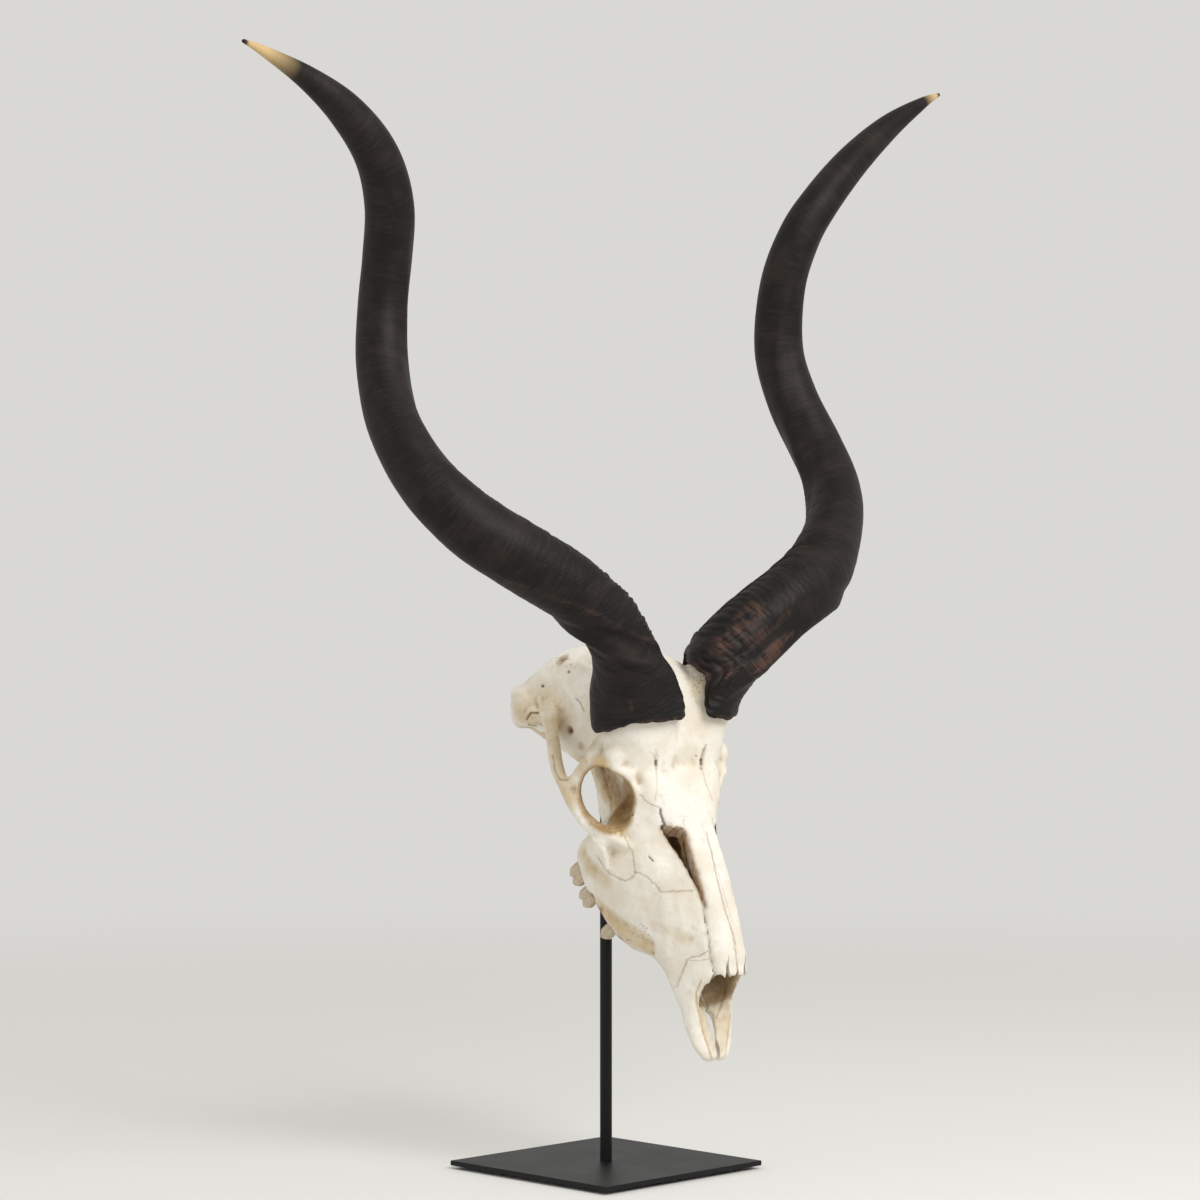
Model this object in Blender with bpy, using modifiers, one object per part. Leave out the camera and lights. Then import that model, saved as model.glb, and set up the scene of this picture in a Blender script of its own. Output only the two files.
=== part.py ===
"""Horned antelope skull carried by a steel rod on a square plate, at its real size.

Frame: +Z up, the origin under the middle of the plate in the plane that its rubber sheet rests on, and the
front of the plate towards -Y. The skull hangs nose down and is turned a few degrees on its rod.

The skull's own sizes are millimetres in a frame of its own: X to the skull's left, Y backwards from
the rod's axis, Z up from the top of the plate. The face is laid out along the palate instead: S
backwards from the tip of the snout and H from the palate towards the forehead.
"""

import math

import bmesh
import bpy
from mathutils import Matrix, Vector

MM = 0.001

# Driving dimensions of the stand, millimetres
PLATE_SIDE = 220.0
PLATE_THICK = 5.0
PLATE_EDGE_ROUND = 0.6
PAD_SIDE = 188.0
PAD_HEIGHT = 3.0
ROD_DIAMETER = 12.0
ROD_TOP = 432.0
GAP = 0.3

# Driving dimensions of the skull, millimetres and degrees
SKULL_TURN = -5.0
FACE_PITCH = 55.0
SNOUT_BACK = -162.0
SNOUT_UP = 117.0
SKULL_VOXEL = 2.6
SKULL_TRIANGLES = 3700
BONE_GROW = 0.9

ROUND_STEPS = 48
PLATE_TOP = PAD_HEIGHT + GAP + PLATE_THICK
SIDES = (("left", 1), ("right", -1))

# Half outlines of the face, top to bottom as (x, h), at each distance s behind the snout's tip
FACE_STATIONS = [
    (-1.0, [(0, 7), (8, 7), (13, 6), (15, 3), (14, 0), (10, -2), (5, -2), (0, -2)]),
    (12.0, [(0, 15), (11, 15), (18, 12), (22, 8), (22, 3), (17, 0), (9, -1), (0, 0)]),
    (30.0, [(0, 27), (12, 27), (20, 24), (25, 17), (26, 9), (22, 3), (11, 3), (0, 6)]),
    (48.0, [(0, 42), (13, 42), (21, 38), (26, 28), (27, 15), (24, 8), (13, 7), (0, 11)]),
    (60.0, [(0, 83), (11, 81), (17, 74), (22, 60), (27, 38), (28, 16), (21, 9), (0, 13)]),
    (80.0, [(0, 92), (11, 90), (18, 83), (22, 72), (28, 48), (31, 22), (22, 11), (0, 17)]),
    (108.0, [(0, 101), (11, 99), (17, 93), (21, 86), (32, 58), (36, 26), (25, 8), (0, 14)]),
    (135.0, [(0, 106), (12, 105), (18, 100), (22, 93), (36, 66), (42, 26), (33, -12), (0, 8)]),
    (160.0, [(0, 110), (13, 108.5), (19, 104), (23, 98), (40, 70), (48, 24), (38, -20), (0, 6)]),
    (190.0, [(0, 114), (14, 112.5), (20, 109), (26, 103), (46, 72), (55, 26), (44, -21), (0, 5)]),
    (213.0, [(0, 117), (20, 116), (31, 110), (40, 98), (53, 70), (61, 34), (48, -20), (0, 6)]),
    (230.0, [(0, 119), (28, 119), (44, 111), (50, 98), (58, 72), (61, 38), (47, -18), (0, 8)]),
    (244.0, [(0, 122), (34, 122), (48, 115), (48, 98), (48, 72), (51, 32), (46, -16), (0, 4)]),
    (254.0, [(0, 124), (35, 124), (50, 117), (42, 98), (36, 72), (38, 32), (38, -9), (0, 4)]),
    (264.0, [(0, 126), (36, 126), (49, 118), (38, 98), (28, 72), (25, 44), (20, 8), (0, 4)]),
    (285.0, [(0, 143), (36, 139), (48, 124), (34, 98), (27, 72), (23, 48), (19, 20), (0, 16)]),
    (310.0, [(0, 152), (34, 146), (44, 124), (34, 98), (26, 76), (22, 58), (18, 36), (0, 32)]),
]

# Half outlines of the crown and the braincase, top to bottom as (x, z), at each y
CROWN_STATIONS = [
    (-121.0, [(0, 456), (14, 454), (24, 448), (28, 438), (24, 428), (14, 420), (0, 418)]),
    (-114.0, [(0, 470), (22, 467), (40, 458), (52, 438), (44, 416), (24, 404), (0, 400)]),
    (-98.0, [(0, 489), (24, 486), (44, 474), (60, 442), (58, 412), (34, 392), (0, 384)]),
    (-76.0, [(0, 502), (26, 500), (50, 484), (64, 448), (58, 414), (32, 388), (0, 374)]),
    (-48.0, [(0, 510), (26, 508), (48, 494), (56, 458), (50, 421), (34, 396), (0, 382)]),
    (-20.0, [(0, 514), (26, 511), (44, 496), (50, 464), (49, 428), (42, 406), (0, 396)]),
    (10.0, [(0, 515), (26, 511), (43, 496), (49, 464), (49, 430), (41, 410), (0, 402)]),
    (40.0, [(0, 511), (26, 507), (46, 491), (51, 462), (49, 438), (30, 419), (0, 410)]),
    (66.0, [(0, 500), (26, 493), (47, 477), (54, 456), (46, 438), (24, 429), (0, 420)]),
    (88.0, [(0, 485), (24, 479), (43, 465), (49, 450), (40, 436), (20, 430), (0, 426)]),
    (104.0, [(0, 470), (18, 466), (31, 458), (36, 447), (29, 438), (15, 433), (0, 432)]),
    (110.0, [(0, 464), (10, 462), (18, 456), (21, 449), (17, 443), (9, 440), (0, 439)]),
]

# The eye socket: its rim as (out, y, z) and the size of its opening
ORBIT_RIM = [
    (71, -84, 401), (73, -67, 400), (74, -53, 390), (75, -48, 374), (74, -53, 358), (70, -68, 344),
    (61, -84, 337), (52, -95, 341), (49.5, -101, 356), (52.5, -107, 372), (62, -103, 390),
]
ORBIT_CENTRE = (61.0, -77.0, 369.0)
ORBIT_RIM_SECTION = (10, 7)

# The cheek arch from the face to the braincase, as (out, y, z, width, thickness)
CHEEK_ARCH = [
    (36, -90, 310, 16, 7), (52, -88, 321, 24, 11), (66, -76, 331, 22, 12), (76, -51, 349, 18, 10),
    (79, -34, 372, 18, 11), (78, -19, 394, 21, 13), (71, -4, 416, 22, 14), (61, 12, 436, 24, 14),
    (48, 32, 448, 26, 16),
]
POSTORBITAL_BAR = [
    (60, -74, 424, 26, 16), (69, -63, 412, 17, 12), (72, -53, 401, 12, 8), (77, -42, 386, 11, 8),
    (79, -30, 374, 14, 9),
]
PTERYGOID = [(16, -24, 326, 26, 5), (17, -19, 350, 28, 5), (18, -14, 376, 24, 6), (18, -2, 402, 26, 8)]
SKULL_BASE = [(0, -30, 368, 20, 24), (0, -4, 388, 20, 20), (0, 40, 406, 24, 16), (0, 108, 432, 24, 14)]
FACIAL_CREST = [
    (70, -74, 330, 20, 14), (64, -71, 315, 18, 14), (58, -69, 301, 15, 12), (52, -71, 290, 8, 8),
]

# The horns: (out, y, z) of the axis, and the half width there
HORN_PATH_RIGHT = [
    (37, -88, 396, 40), (44, -97, 440, 42), (53, -102, 469, 40.5), (66, -112, 494, 35.5),
    (83, -120, 518, 31.5), (102, -124, 540, 31), (134, -120, 565, 32), (168, -114, 585, 33.5),
    (201, -105, 604, 33.3), (230, -93, 623, 32.8), (253, -77, 646, 31), (268, -55, 673, 28.8),
    (274, -30, 705, 27), (272, -5, 739, 25.8), (265, 18, 789, 24.6), (258, 26, 840, 24),
    (257, 19, 888, 24.2), (266, 4, 936, 23.8), (289, -7, 980, 21.6), (325, -9, 1017, 17.8),
    (369, -9, 1044, 11.5), (419, -10, 1064, 5), (443, -10, 1071.5, 1.6),
]
HORN_PATH_LEFT = [
    (35, -88, 396, 38), (41, -96, 440, 38), (44, -98, 465, 38.5), (51, -103, 485, 38.5),
    (63, -110, 503, 38), (79, -116, 521, 37), (111, -121, 545, 35.8), (147, -120, 566, 36),
    (185, -111, 589, 35.6), (217, -96, 618, 31.5), (247, -74, 650, 29), (266, -47, 683, 28.6),
    (271, -17, 722, 28.4), (266, 12, 772, 27.3), (259, 25, 825, 26), (258, 18, 890, 24.3),
    (267, 3, 940, 22.8), (289, -6, 978, 21), (333, -9, 1024, 18), (387, -9, 1066, 13.2),
    (436, -12, 1096, 6.2), (461, -13, 1107.5, 1.6),
]
# Height of each horn's lower edge at a heading round its axis: 0 faces forwards and 90 outwards
HORN_RIM_RIGHT = [
    (-45, 444), (-20, 443), (10, 443), (45, 441), (80, 434), (110, 431), (140, 440), (170, 464), (200, 486),
    (235, 502), (270, 496), (292, 470),
]
HORN_RIM_LEFT = [
    (-45, 480), (-43, 470), (-41, 457), (-37, 449), (-32, 446), (-22, 443.5), (3, 442.5), (24, 446),
    (40, 447.5), (54, 450), (66, 448), (90, 445), (120, 446), (150, 460), (180, 486), (202, 504), (222, 507),
    (242, 507), (253, 505), (263, 502), (272, 498.5), (291, 493), (299, 490), (308, 486),
]
# Heading of each horn's keel at shares of the horn's length
KEEL_RIGHT = [
    (0.0, -45), (0.09, -45), (0.12, -25), (0.15, 40), (0.19, 95), (0.23, 130), (0.3, 190), (0.37, 225),
    (0.5, 270), (0.65, 330), (0.8, 400), (1.0, 440),
]
KEEL_LEFT = [
    (0.0, -45), (0.08, -40), (0.12, -15), (0.16, 20), (0.2, 65), (0.25, 120), (0.3, 170), (0.37, 215),
    (0.5, 270), (0.65, 330), (0.8, 400), (1.0, 440),
]
KEEL_HEIGHT = 0.11
KEEL_SPREAD = 0.42
HORN_OVAL_BASE = 0.07
HORN_AROUND = 16
HORN_STATIONS = 36
SEAT_INSET = 9.0
SEAT_LENGTH = 92.0

# Cheek teeth as (name, s at the front, s at the back, out, out at the back, height of the crown)
TEETH = [
    ("p2", 126, 137, 30, 33, 8), ("p3", 140, 152, 35, 38, 9), ("p4", 156, 169, 39, 41, 13),
    ("m1", 172, 189, 43, 45, 12), ("m2", 192, 214, 46, 47, 13), ("m3", 217, 241, 47, 46, 13),
]
TEETH_KEPT = {"right": ("p4", "m2", "m3"), "left": ("p3", "p4", "m1", "m2", "m3")}
TOOTH_WIDTH = 14.0
SOCKET_FLOOR_H = -8.0
ALVEOLAR_H = -20.0

# Seams: where the nasal bones and the premaxillae part from the skull
NASAL_EDGE = [(40, 15, 58), (56, 18, 64), (70, 19.5, 70.5), (97, 19.5, 82), (126, 20, 91),
              (161, 20, 99), (176, 19.5, 103), (190, 19, 106.5), (202, 18, 109.5)]
NASAL_SEAM = [1.0, 1.0, 0.8, 0.7, 0.6, 0.5, 0.5, 0.5, 0.4]
# Outlines on the face as (x, s): the open fissure beside a nasal bone, and what its forked end leaves out
FISSURE = [
    (18.8, 115), (21.3, 133), (23.6, 152), (27, 170), (30, 183), (33, 194), (36, 206), (29, 200),
    (24.5, 198), (19.2, 192), (18.6, 176), (19, 161), (19, 140),
]
NASAL_FORK = [
    (-1, 30), (-1, 56), (2.5, 50), (5.5, 44.5), (8, 50), (10, 60), (11, 67), (12, 60), (13.5, 49),
    (15, 45), (17, 51), (18.5, 62), (22, 76), (26, 76), (26, 30),
]
FISSURE_HEIGHTS = (72.0, 135.0)
FORK_HEIGHTS = (55.0, 110.0)
PREMAXILLA_SEAM = [(-20.0, 68.0), (18.0, 71.0), (48.0, 82.0), (60.0, 77.0), (72.5, 72.0)]
PREMAXILLA_MID_GAP = 4.6

MATERIALS = {
    "bone": ((0.78, 0.72, 0.60), 0.62, 0.0),
    "tooth": ((0.72, 0.65, 0.50), 0.42, 0.0),
    "horn": ((0.022, 0.017, 0.014), 0.48, 0.0),
    "steel": ((0.012, 0.012, 0.013), 0.42, 0.6),
    "rubber": ((0.02, 0.02, 0.02), 0.8, 0.0),
}


def clear_scene():
    """Remove every object of the scene."""
    for item in list(bpy.data.objects):
        bpy.data.objects.remove(item, do_unlink=True)


def make_collection(name):
    """Make a collection under the scene's own."""
    group = bpy.data.collections.new(name)
    bpy.context.scene.collection.children.link(group)
    return group


def make_material(name):
    """Make the plain material of one of the part's pieces."""
    colour, roughness, metallic = MATERIALS[name]
    material = bpy.data.materials.new(name)
    material.use_nodes = True
    shader = material.node_tree.nodes["Principled BSDF"]
    shader.inputs["Base Color"].default_value = (*colour, 1.0)
    shader.inputs["Roughness"].default_value = roughness
    shader.inputs["Metallic"].default_value = metallic
    return material


# Frames and curves


def face_point(x, s, h):
    """Turn a place on the face, along the palate and above it, into the skull's frame."""
    pitch = math.radians(FACE_PITCH)
    y = SNOUT_BACK + s * math.cos(pitch) - h * math.sin(pitch)
    z = SNOUT_UP + s * math.sin(pitch) + h * math.cos(pitch)
    return Vector((x, y, z))


def crown_point(x, y, z):
    """Return a place on the crown, which is laid out along the skull's own axes."""
    return Vector((x, y, z))


def spline_value(a, b, c, d, t):
    """Catmull-Rom value between b and c."""
    square = 2 * a - 5 * b + 4 * c - d
    cube = 3 * b - a - 3 * c + d
    return 0.5 * (2 * b + (c - a) * t + square * t * t + cube * t ** 3)


def smooth_row(points, steps, closed=False):
    """Fill in a row of vectors with a smooth curve that passes through each of them."""
    count = len(points)
    spans = count if closed else count - 1
    row = []
    for i in range(spans):
        if closed:
            a, b, c, d = (points[(i + k) % count] for k in (-1, 0, 1, 2))
        else:
            a, b, c, d = points[max(i - 1, 0)], points[i], points[i + 1], points[min(i + 2, count - 1)]
        row.extend(spline_value(a, b, c, d, k / steps) for k in range(steps))
    if not closed:
        row.append(points[-1].copy())
    return row


def table_value(table, key):
    """Read a value between the rows of a table of (key, value)."""
    for (k0, v0), (k1, v1) in zip(table, table[1:]):
        if key <= k1:
            return v0 + (v1 - v0) * max(key - k0, 0.0) / (k1 - k0)
    return table[-1][1]


def full_outline(half):
    """Mirror a half outline, given top to bottom, into the points all the way round."""
    right = [Vector(p) for p in half]
    left = [Vector((-p[0], p[1])) for p in reversed(half[1:-1])]
    return right + left


# Making solids


def skin_rings(bm, rings):
    """Join rings of equal length, one after another, and close both ends."""
    rows = [[bm.verts.new(p) for p in ring] for ring in rings]
    for low, high in zip(rows, rows[1:]):
        for i, corner in enumerate(low):
            j = (i + 1) % len(low)
            bm.faces.new((corner, low[j], high[j], high[i]))
    bm.faces.new(list(reversed(rows[0])))
    bm.faces.new(rows[-1])
    face_outwards(bm)


def face_outwards(bm):
    """Turn every face of a closed mesh outwards."""
    bmesh.ops.recalc_face_normals(bm, faces=bm.faces)
    if bm.calc_volume(signed=True) < 0.0:
        bmesh.ops.reverse_faces(bm, faces=bm.faces)


def loft(stations, place, around=2, along=3):
    """Loft a solid through half outlines, each at its own distance along the axis."""
    bm = bmesh.new()
    outlines = [smooth_row(full_outline(half), around, closed=True) for _, half in stations]
    columns = []
    for i in range(len(outlines[0])):
        column = [Vector((o[i].x, station[0], o[i].y)) for station, o in zip(stations, outlines)]
        columns.append(smooth_row(column, along))
    rings = [list(ring) for ring in zip(*columns)]
    skin_rings(bm, [[place(*p) for p in ring] for ring in rings])
    return bm


def ball(centre, radii, turn=(0.0, 0.0, 0.0), fine=16):
    """Make an egg-shaped solid from a sphere."""
    bm = bmesh.new()
    bmesh.ops.create_uvsphere(bm, u_segments=fine, v_segments=fine // 2, radius=1.0)
    spin = Matrix.Rotation(math.radians(turn[2]), 4, "Z") @ Matrix.Rotation(math.radians(turn[1]), 4, "Y")
    spin = spin @ Matrix.Rotation(math.radians(turn[0]), 4, "X")
    bm.transform(Matrix.Translation(centre) @ spin @ Matrix.Diagonal((*radii, 1.0)))
    return bm


def rod_between(start, end, radius_start, radius_end, sides=16):
    """Make a round bar or a cone between two places."""
    start, end = Vector(start), Vector(end)
    bm = bmesh.new()
    bmesh.ops.create_cone(
        bm, cap_ends=True, segments=sides, radius1=radius_start, radius2=radius_end,
        depth=(end - start).length,
    )
    spin = (end - start).to_track_quat("Z", "Y").to_matrix().to_4x4()
    bm.transform(Matrix.Translation((start + end) / 2) @ spin)
    return bm


def bar(stops, side, flat_from=(0.0, -80.0, 400.0), around=10, along=3, closed=False):
    """Sweep an oval through stops of (out, y, z, width, thickness); its flat side faces a middle point."""
    points = [Vector(stop[:3]) for stop in stops]
    sizes = [Vector(stop[3:]) for stop in stops]
    path = smooth_row(points, along, closed)
    spans = smooth_row(sizes, along, closed)
    rings = []
    for i, p in enumerate(path):
        before = path[i - 1] if closed else path[max(i - 1, 0)]
        after = path[(i + 1) % len(path)] if closed else path[min(i + 1, len(path) - 1)]
        tangent = (after - before).normalized()
        thin = (p - Vector(flat_from)).cross(tangent).cross(tangent).normalized()
        wide = tangent.cross(thin)
        ring = []
        for k in range(around):
            angle = math.tau * k / around
            ring.append(p + wide * math.cos(angle) * spans[i].x / 2 + thin * math.sin(angle) * spans[i].y / 2)
        rings.append([Vector((side * q.x, q.y, q.z)) for q in ring])
    bm = bmesh.new()
    if closed:
        rows = [[bm.verts.new(q) for q in ring] for ring in rings]
        for i, low in enumerate(rows):
            high = rows[(i + 1) % len(rows)]
            for k in range(around):
                n = (k + 1) % around
                bm.faces.new((low[k], low[n], high[n], high[k]))
        face_outwards(bm)
    else:
        skin_rings(bm, rings)
    return bm


def to_object(name, pieces, group):
    """Put one or more meshes, in millimetres, into one object, in metres."""
    whole = bmesh.new()
    for piece in pieces:
        mesh = bpy.data.meshes.new("piece")
        piece.to_mesh(mesh)
        piece.free()
        whole.from_mesh(mesh)
        bpy.data.meshes.remove(mesh)
    whole.transform(Matrix.Scale(MM, 4))
    mesh = bpy.data.meshes.new(name)
    whole.to_mesh(mesh)
    whole.free()
    item = bpy.data.objects.new(name, mesh)
    group.objects.link(item)
    return item


def settle(item):
    """Replace an object's mesh by what its modifiers make of it."""
    graph = bpy.context.evaluated_depsgraph_get()
    mesh = bpy.data.meshes.new_from_object(item.evaluated_get(graph))
    old = item.data
    item.modifiers.clear()
    item.data = mesh
    bpy.data.meshes.remove(old)
    return item


def melt(item, voxel, smooth=0, factor=0.5):
    """Fuse all the shells of an object into one skin and soften its creases."""
    remesh = item.modifiers.new("fuse", "REMESH")
    remesh.mode = "VOXEL"
    remesh.voxel_size = voxel * MM
    if smooth:
        soften = item.modifiers.new("soften", "SMOOTH")
        soften.factor = factor
        soften.iterations = smooth
    return settle(item)


def boolean(item, other, operation="DIFFERENCE"):
    """Cut, join or intersect with another object and remove that object."""
    change = item.modifiers.new(operation.lower(), "BOOLEAN")
    change.operation = operation
    change.solver = "EXACT"
    change.object = other
    settle(item)
    mesh = other.data
    bpy.data.objects.remove(other, do_unlink=True)
    bpy.data.meshes.remove(mesh)
    return item


def thin_out(item, triangles):
    """Bring a mesh down to about a number of triangles."""
    item.data.calc_loop_triangles()
    reduce = item.modifiers.new("reduce", "DECIMATE")
    reduce.ratio = min(1.0, triangles / len(item.data.loop_triangles))
    return settle(item)


def keep_main_shell(item):
    """Delete loose shells apart from the largest, and merge what a cut left on one place."""
    bm = bmesh.new()
    bm.from_mesh(item.data)
    bmesh.ops.remove_doubles(bm, verts=bm.verts, dist=0.02 * MM)
    bmesh.ops.dissolve_degenerate(bm, edges=bm.edges, dist=0.02 * MM)
    seen = set()
    shells = []
    for seed in bm.verts:
        if seed in seen:
            continue
        shell = {seed}
        front = [seed]
        while front:
            for edge in front.pop().link_edges:
                for vert in edge.verts:
                    if vert not in shell:
                        shell.add(vert)
                        front.append(vert)
        seen |= shell
        shells.append(shell)
    shells.sort(key=len)
    for shell in shells[:-1]:
        bmesh.ops.delete(bm, geom=list(shell), context="VERTS")
    bm.to_mesh(item.data)
    bm.free()
    return item


def copy_of(item, group):
    """Copy an object with its mesh."""
    twin = item.copy()
    twin.data = item.data.copy()
    group.objects.link(twin)
    return twin


def grow(item, distance):
    """Push a mesh's skin outwards by a small distance."""
    bm = bmesh.new()
    bm.from_mesh(item.data)
    bm.normal_update()
    moves = [(vert, vert.normal * distance * MM) for vert in bm.verts]
    for vert, move in moves:
        vert.co += move
    bm.to_mesh(item.data)
    bm.free()
    return item


# The skull's bone


def bone_solids():
    """Give the overlapping forms that the bone is fused from."""
    solids = [loft(FACE_STATIONS, face_point), loft(CROWN_STATIONS, crown_point)]
    solids += [nasal_roof()]
    for side in (-1, 1):
        solids.append(bar([(*p, *ORBIT_RIM_SECTION) for p in ORBIT_RIM], side, closed=True))
        solids.append(bar(CHEEK_ARCH, side, around=12))
        solids.append(bar(POSTORBITAL_BAR, side, around=10))
        solids.append(bar(FACIAL_CREST, side, around=10))
        solids.append(eye_roof(side))
        solids.append(horn_seat(side))
        solids.append(ball((side * 45, -82, 337), (13, 17, 12)))
        solids.append(ball((side * 65, -92, 409), (12, 13, 13)))
        solids.append(ball((side * 54, -102, 392), (9, 7, 11)))
        solids += ear_region(side)
        solids.append(ball((side * 17, 112, 446), (12, 15, 18)))
        solids.append(bar(PTERYGOID, side, flat_from=(60.0, -10.0, 360.0)))
    solids.append(bar(SKULL_BASE, 1, flat_from=(0.0, 40.0, 300.0)))
    solids.append(rod_between((0, 0, 397), (0, 0, 440), 13, 20))
    return solids


def nasal_roof():
    """The forward run of the nasal bones, over the open end of the snout."""
    stations = [
        (43.0, [(0, 72), (9, 71), (14, 68.5), (14, 66.5), (9, 68.5), (0, 69.5)]),
        (50.0, [(0, 76), (9, 75), (15, 72), (15, 70), (9, 72), (0, 73)]),
        (58.0, [(0, 81), (10, 79), (17, 74), (17, 70), (9, 74), (0, 76)]),
        (72.0, [(0, 89), (12, 87), (20, 80), (18, 76), (10, 82), (0, 84)]),
    ]
    return loft(stations, face_point)


def eye_roof(side):
    """The shelf of the forehead bone over the eye."""
    stops = [(46, -104, 394, 40, 16), (54, -92, 404, 44, 16), (60, -76, 412, 44, 16), (62, -62, 418, 36, 16)]
    return bar(stops, side, flat_from=(20.0, -90.0, 330.0), around=12)


def horn_seat(side):
    """The raised seat of bone inside the foot of a horn."""
    path, keel = (HORN_PATH_RIGHT, KEEL_RIGHT) if side < 0 else (HORN_PATH_LEFT, KEEL_LEFT)
    skin = HornSkin(path, keel, side, SEAT_INSET)
    steps = 6
    bm = bmesh.new()
    skin_rings(bm, [skin.ring(SEAT_LENGTH * i / steps, HORN_AROUND) for i in range(steps + 1)])
    return bm


def ear_region(side):
    """The ear tube, the bulla, the mastoid wall, the shelf of the jaw joint and the spur by the condyle."""
    return [
        rod_between((side * 36, 56, 448), (side * 59, 45, 443), 12, 9),
        ball((side * 28, 60, 436), (11, 17, 10)),
        ball((side * 40, 79, 455), (13, 18, 20), turn=(12, 0, 0)),
        ball((side * 44, 70, 453), (15, 20, 21)),
        bar([(38, 90, 450, 18, 12), (37, 93, 442, 12, 9), (36, 93, 438, 7, 6)], side, around=8),
    ]


def bone_cuts(group):
    """Give the hollows of the bone as cutters."""
    cuts = [to_object("cut_nasal_cavity", [nasal_cavity()], group)]
    cuts.append(to_object("cut_nostrils", [nostril_opening()], group))
    cuts.append(to_object("cut_palate_opening", [palate_opening()], group))
    cuts.append(to_object("cut_palate", [palate_vault()], group))
    cuts.append(to_object("cut_choana", [choana()], group))
    cuts.append(to_object("cut_brain", [ball((0, 28, 462), (36, 62, 36), fine=20)], group))
    cuts.append(to_object("cut_foramen", [rod_between((0, 60, 452), (0, 140, 446), 14, 15)], group))
    for side in (-1, 1):
        cuts.append(to_object("cut_orbit", [orbit_hollow(side)], group))
        ear = rod_between((side * 46, 52, 444), (side * 66, 42, 441), 3.6, 4.4)
        cuts.append(to_object("cut_ear", [ear], group))
        cuts.append(to_object("cut_temple", [temple_hollow(side)], group))
    return cuts


def nasal_cavity():
    """The airway inside the face, open at the snout."""
    stations = [
        (50.0, [(0, 68), (10, 66), (15, 57), (18, 46), (19, 35), (13, 24), (0, 21)]),
        (62.0, [(0, 78), (8, 76), (12, 69), (16, 57), (21, 40), (19, 24), (0, 21)]),
        (108.0, [(0, 94), (7, 92), (11, 87), (14, 79), (25, 55), (27, 26), (0, 20)]),
        (160.0, [(0, 103), (9, 101), (13, 96), (16, 90), (32, 66), (37, 24), (0, 13)]),
        (205.0, [(0, 106), (13, 104), (20, 98), (27, 86), (40, 60), (40, 26), (0, 14)]),
        (236.0, [(0, 104), (14, 102), (22, 92), (28, 76), (28, 50), (24, 28), (0, 16)]),
    ]
    return loft(stations, face_point)


def nostril_opening():
    """Opens the top of the snout in front of the nasal bones, down to the floor between its two arms."""
    stations = [
        (4.0, [(0, 20), (4, 19), (7, 15), (6, 12), (3, 11), (0, 10.5)]),
        (12.0, [(0, 40), (9, 38), (14, 26), (13, 15), (7, 12.5), (0, 12)]),
        (30.0, [(0, 60), (12, 58), (19, 44), (19.5, 25), (11, 19), (0, 17)]),
        (40.0, [(0, 68), (12, 66), (19.5, 52), (20, 32), (12, 23.5), (0, 21)]),
        (50.0, [(0, 74), (11, 72), (19.5, 60), (20.5, 34), (14, 23), (0, 20)]),
        (58.0, [(0, 73), (9, 72), (16, 62), (20, 38), (15, 22), (0, 20)]),
        (68.0, [(0, 74), (7, 72), (11, 66), (14, 54), (12, 34), (0, 24)]),
    ]
    return loft(stations, face_point)


def palate_opening():
    """The long opening in the floor of the snout, between the arms of the premaxillae."""
    lips = ((12.0, 1.0, 12.0), (20.0, 2.8, 14.0), (30.0, 4.2, 17.0), (40.0, 5.2, 20.0), (46.0, 3.0, 19.0))
    stations = []
    for s, half, height in lips:
        under = [(half, height - 3.5), (half + 9.0, 2.0), (half + 9.0, -12.0), (0.0, -13.0)]
        stations.append((s, [(0.0, height + 8.0), (half, height + 7.0), *under]))
    return loft(stations, face_point)


def palate_vault():
    """The hollow of the palate between the tooth rows."""
    stations = [
        (104.0, [(0, 6), (8, 3), (10, -8), (10, -26), (6, -40), (0, -44)]),
        (130.0, [(0, 3), (14, 1), (19, -10), (20, -28), (14, -44), (0, -50)]),
        (160.0, [(0, 2), (20, 0), (27, -12), (28, -30), (20, -46), (0, -54)]),
        (200.0, [(0, 2), (24, 0), (33, -12), (34, -30), (24, -46), (0, -54)]),
        (240.0, [(0, 4), (24, 1), (33, -10), (34, -28), (24, -46), (0, -54)]),
        (275.0, [(0, 8), (24, 6), (34, -6), (36, -26), (24, -46), (0, -54)]),
    ]
    return loft(stations, face_point)


def choana():
    """The throat opening behind the palate."""
    stations = [
        (222.0, [(0, 44), (8, 42), (13, 34), (13, 24), (9, 16), (0, 14)]),
        (250.0, [(0, 46), (10, 44), (14, 34), (14, 16), (12, -4), (0, -10)]),
        (285.0, [(0, 28), (9, 24), (13, 12), (14, -6), (12, -26), (0, -32)]),
        (310.0, [(0, 6), (9, 2), (13, -8), (14, -24), (12, -40), (0, -46)]),
    ]
    return loft(stations, face_point)


def orbit_hollow(side):
    """The room of the eye, widest at its rim and narrow at the back."""
    middle = Vector(ORBIT_CENTRE)
    deep = Vector((30.0, -52.0, 384.0))
    rings = []
    for depth, scale in ((-0.75, 1.06), (0.0, 0.93), (0.45, 0.96), (0.85, 0.62), (1.0, 0.3)):
        centre = middle.lerp(deep, depth)
        ring = [centre + (Vector(p) - middle) * scale for p in ORBIT_RIM]
        rings.append([Vector((side * q.x, q.y, q.z)) for q in smooth_row(ring, 2, closed=True)])
    bm = bmesh.new()
    skin_rings(bm, rings)
    return bm


def temple_hollow(side):
    """The hollow of the temple, between the braincase and the cheek arch."""
    return ball((side * 72, -30, 456), (24, 30, 40), turn=(-20, 0, 0))


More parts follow.
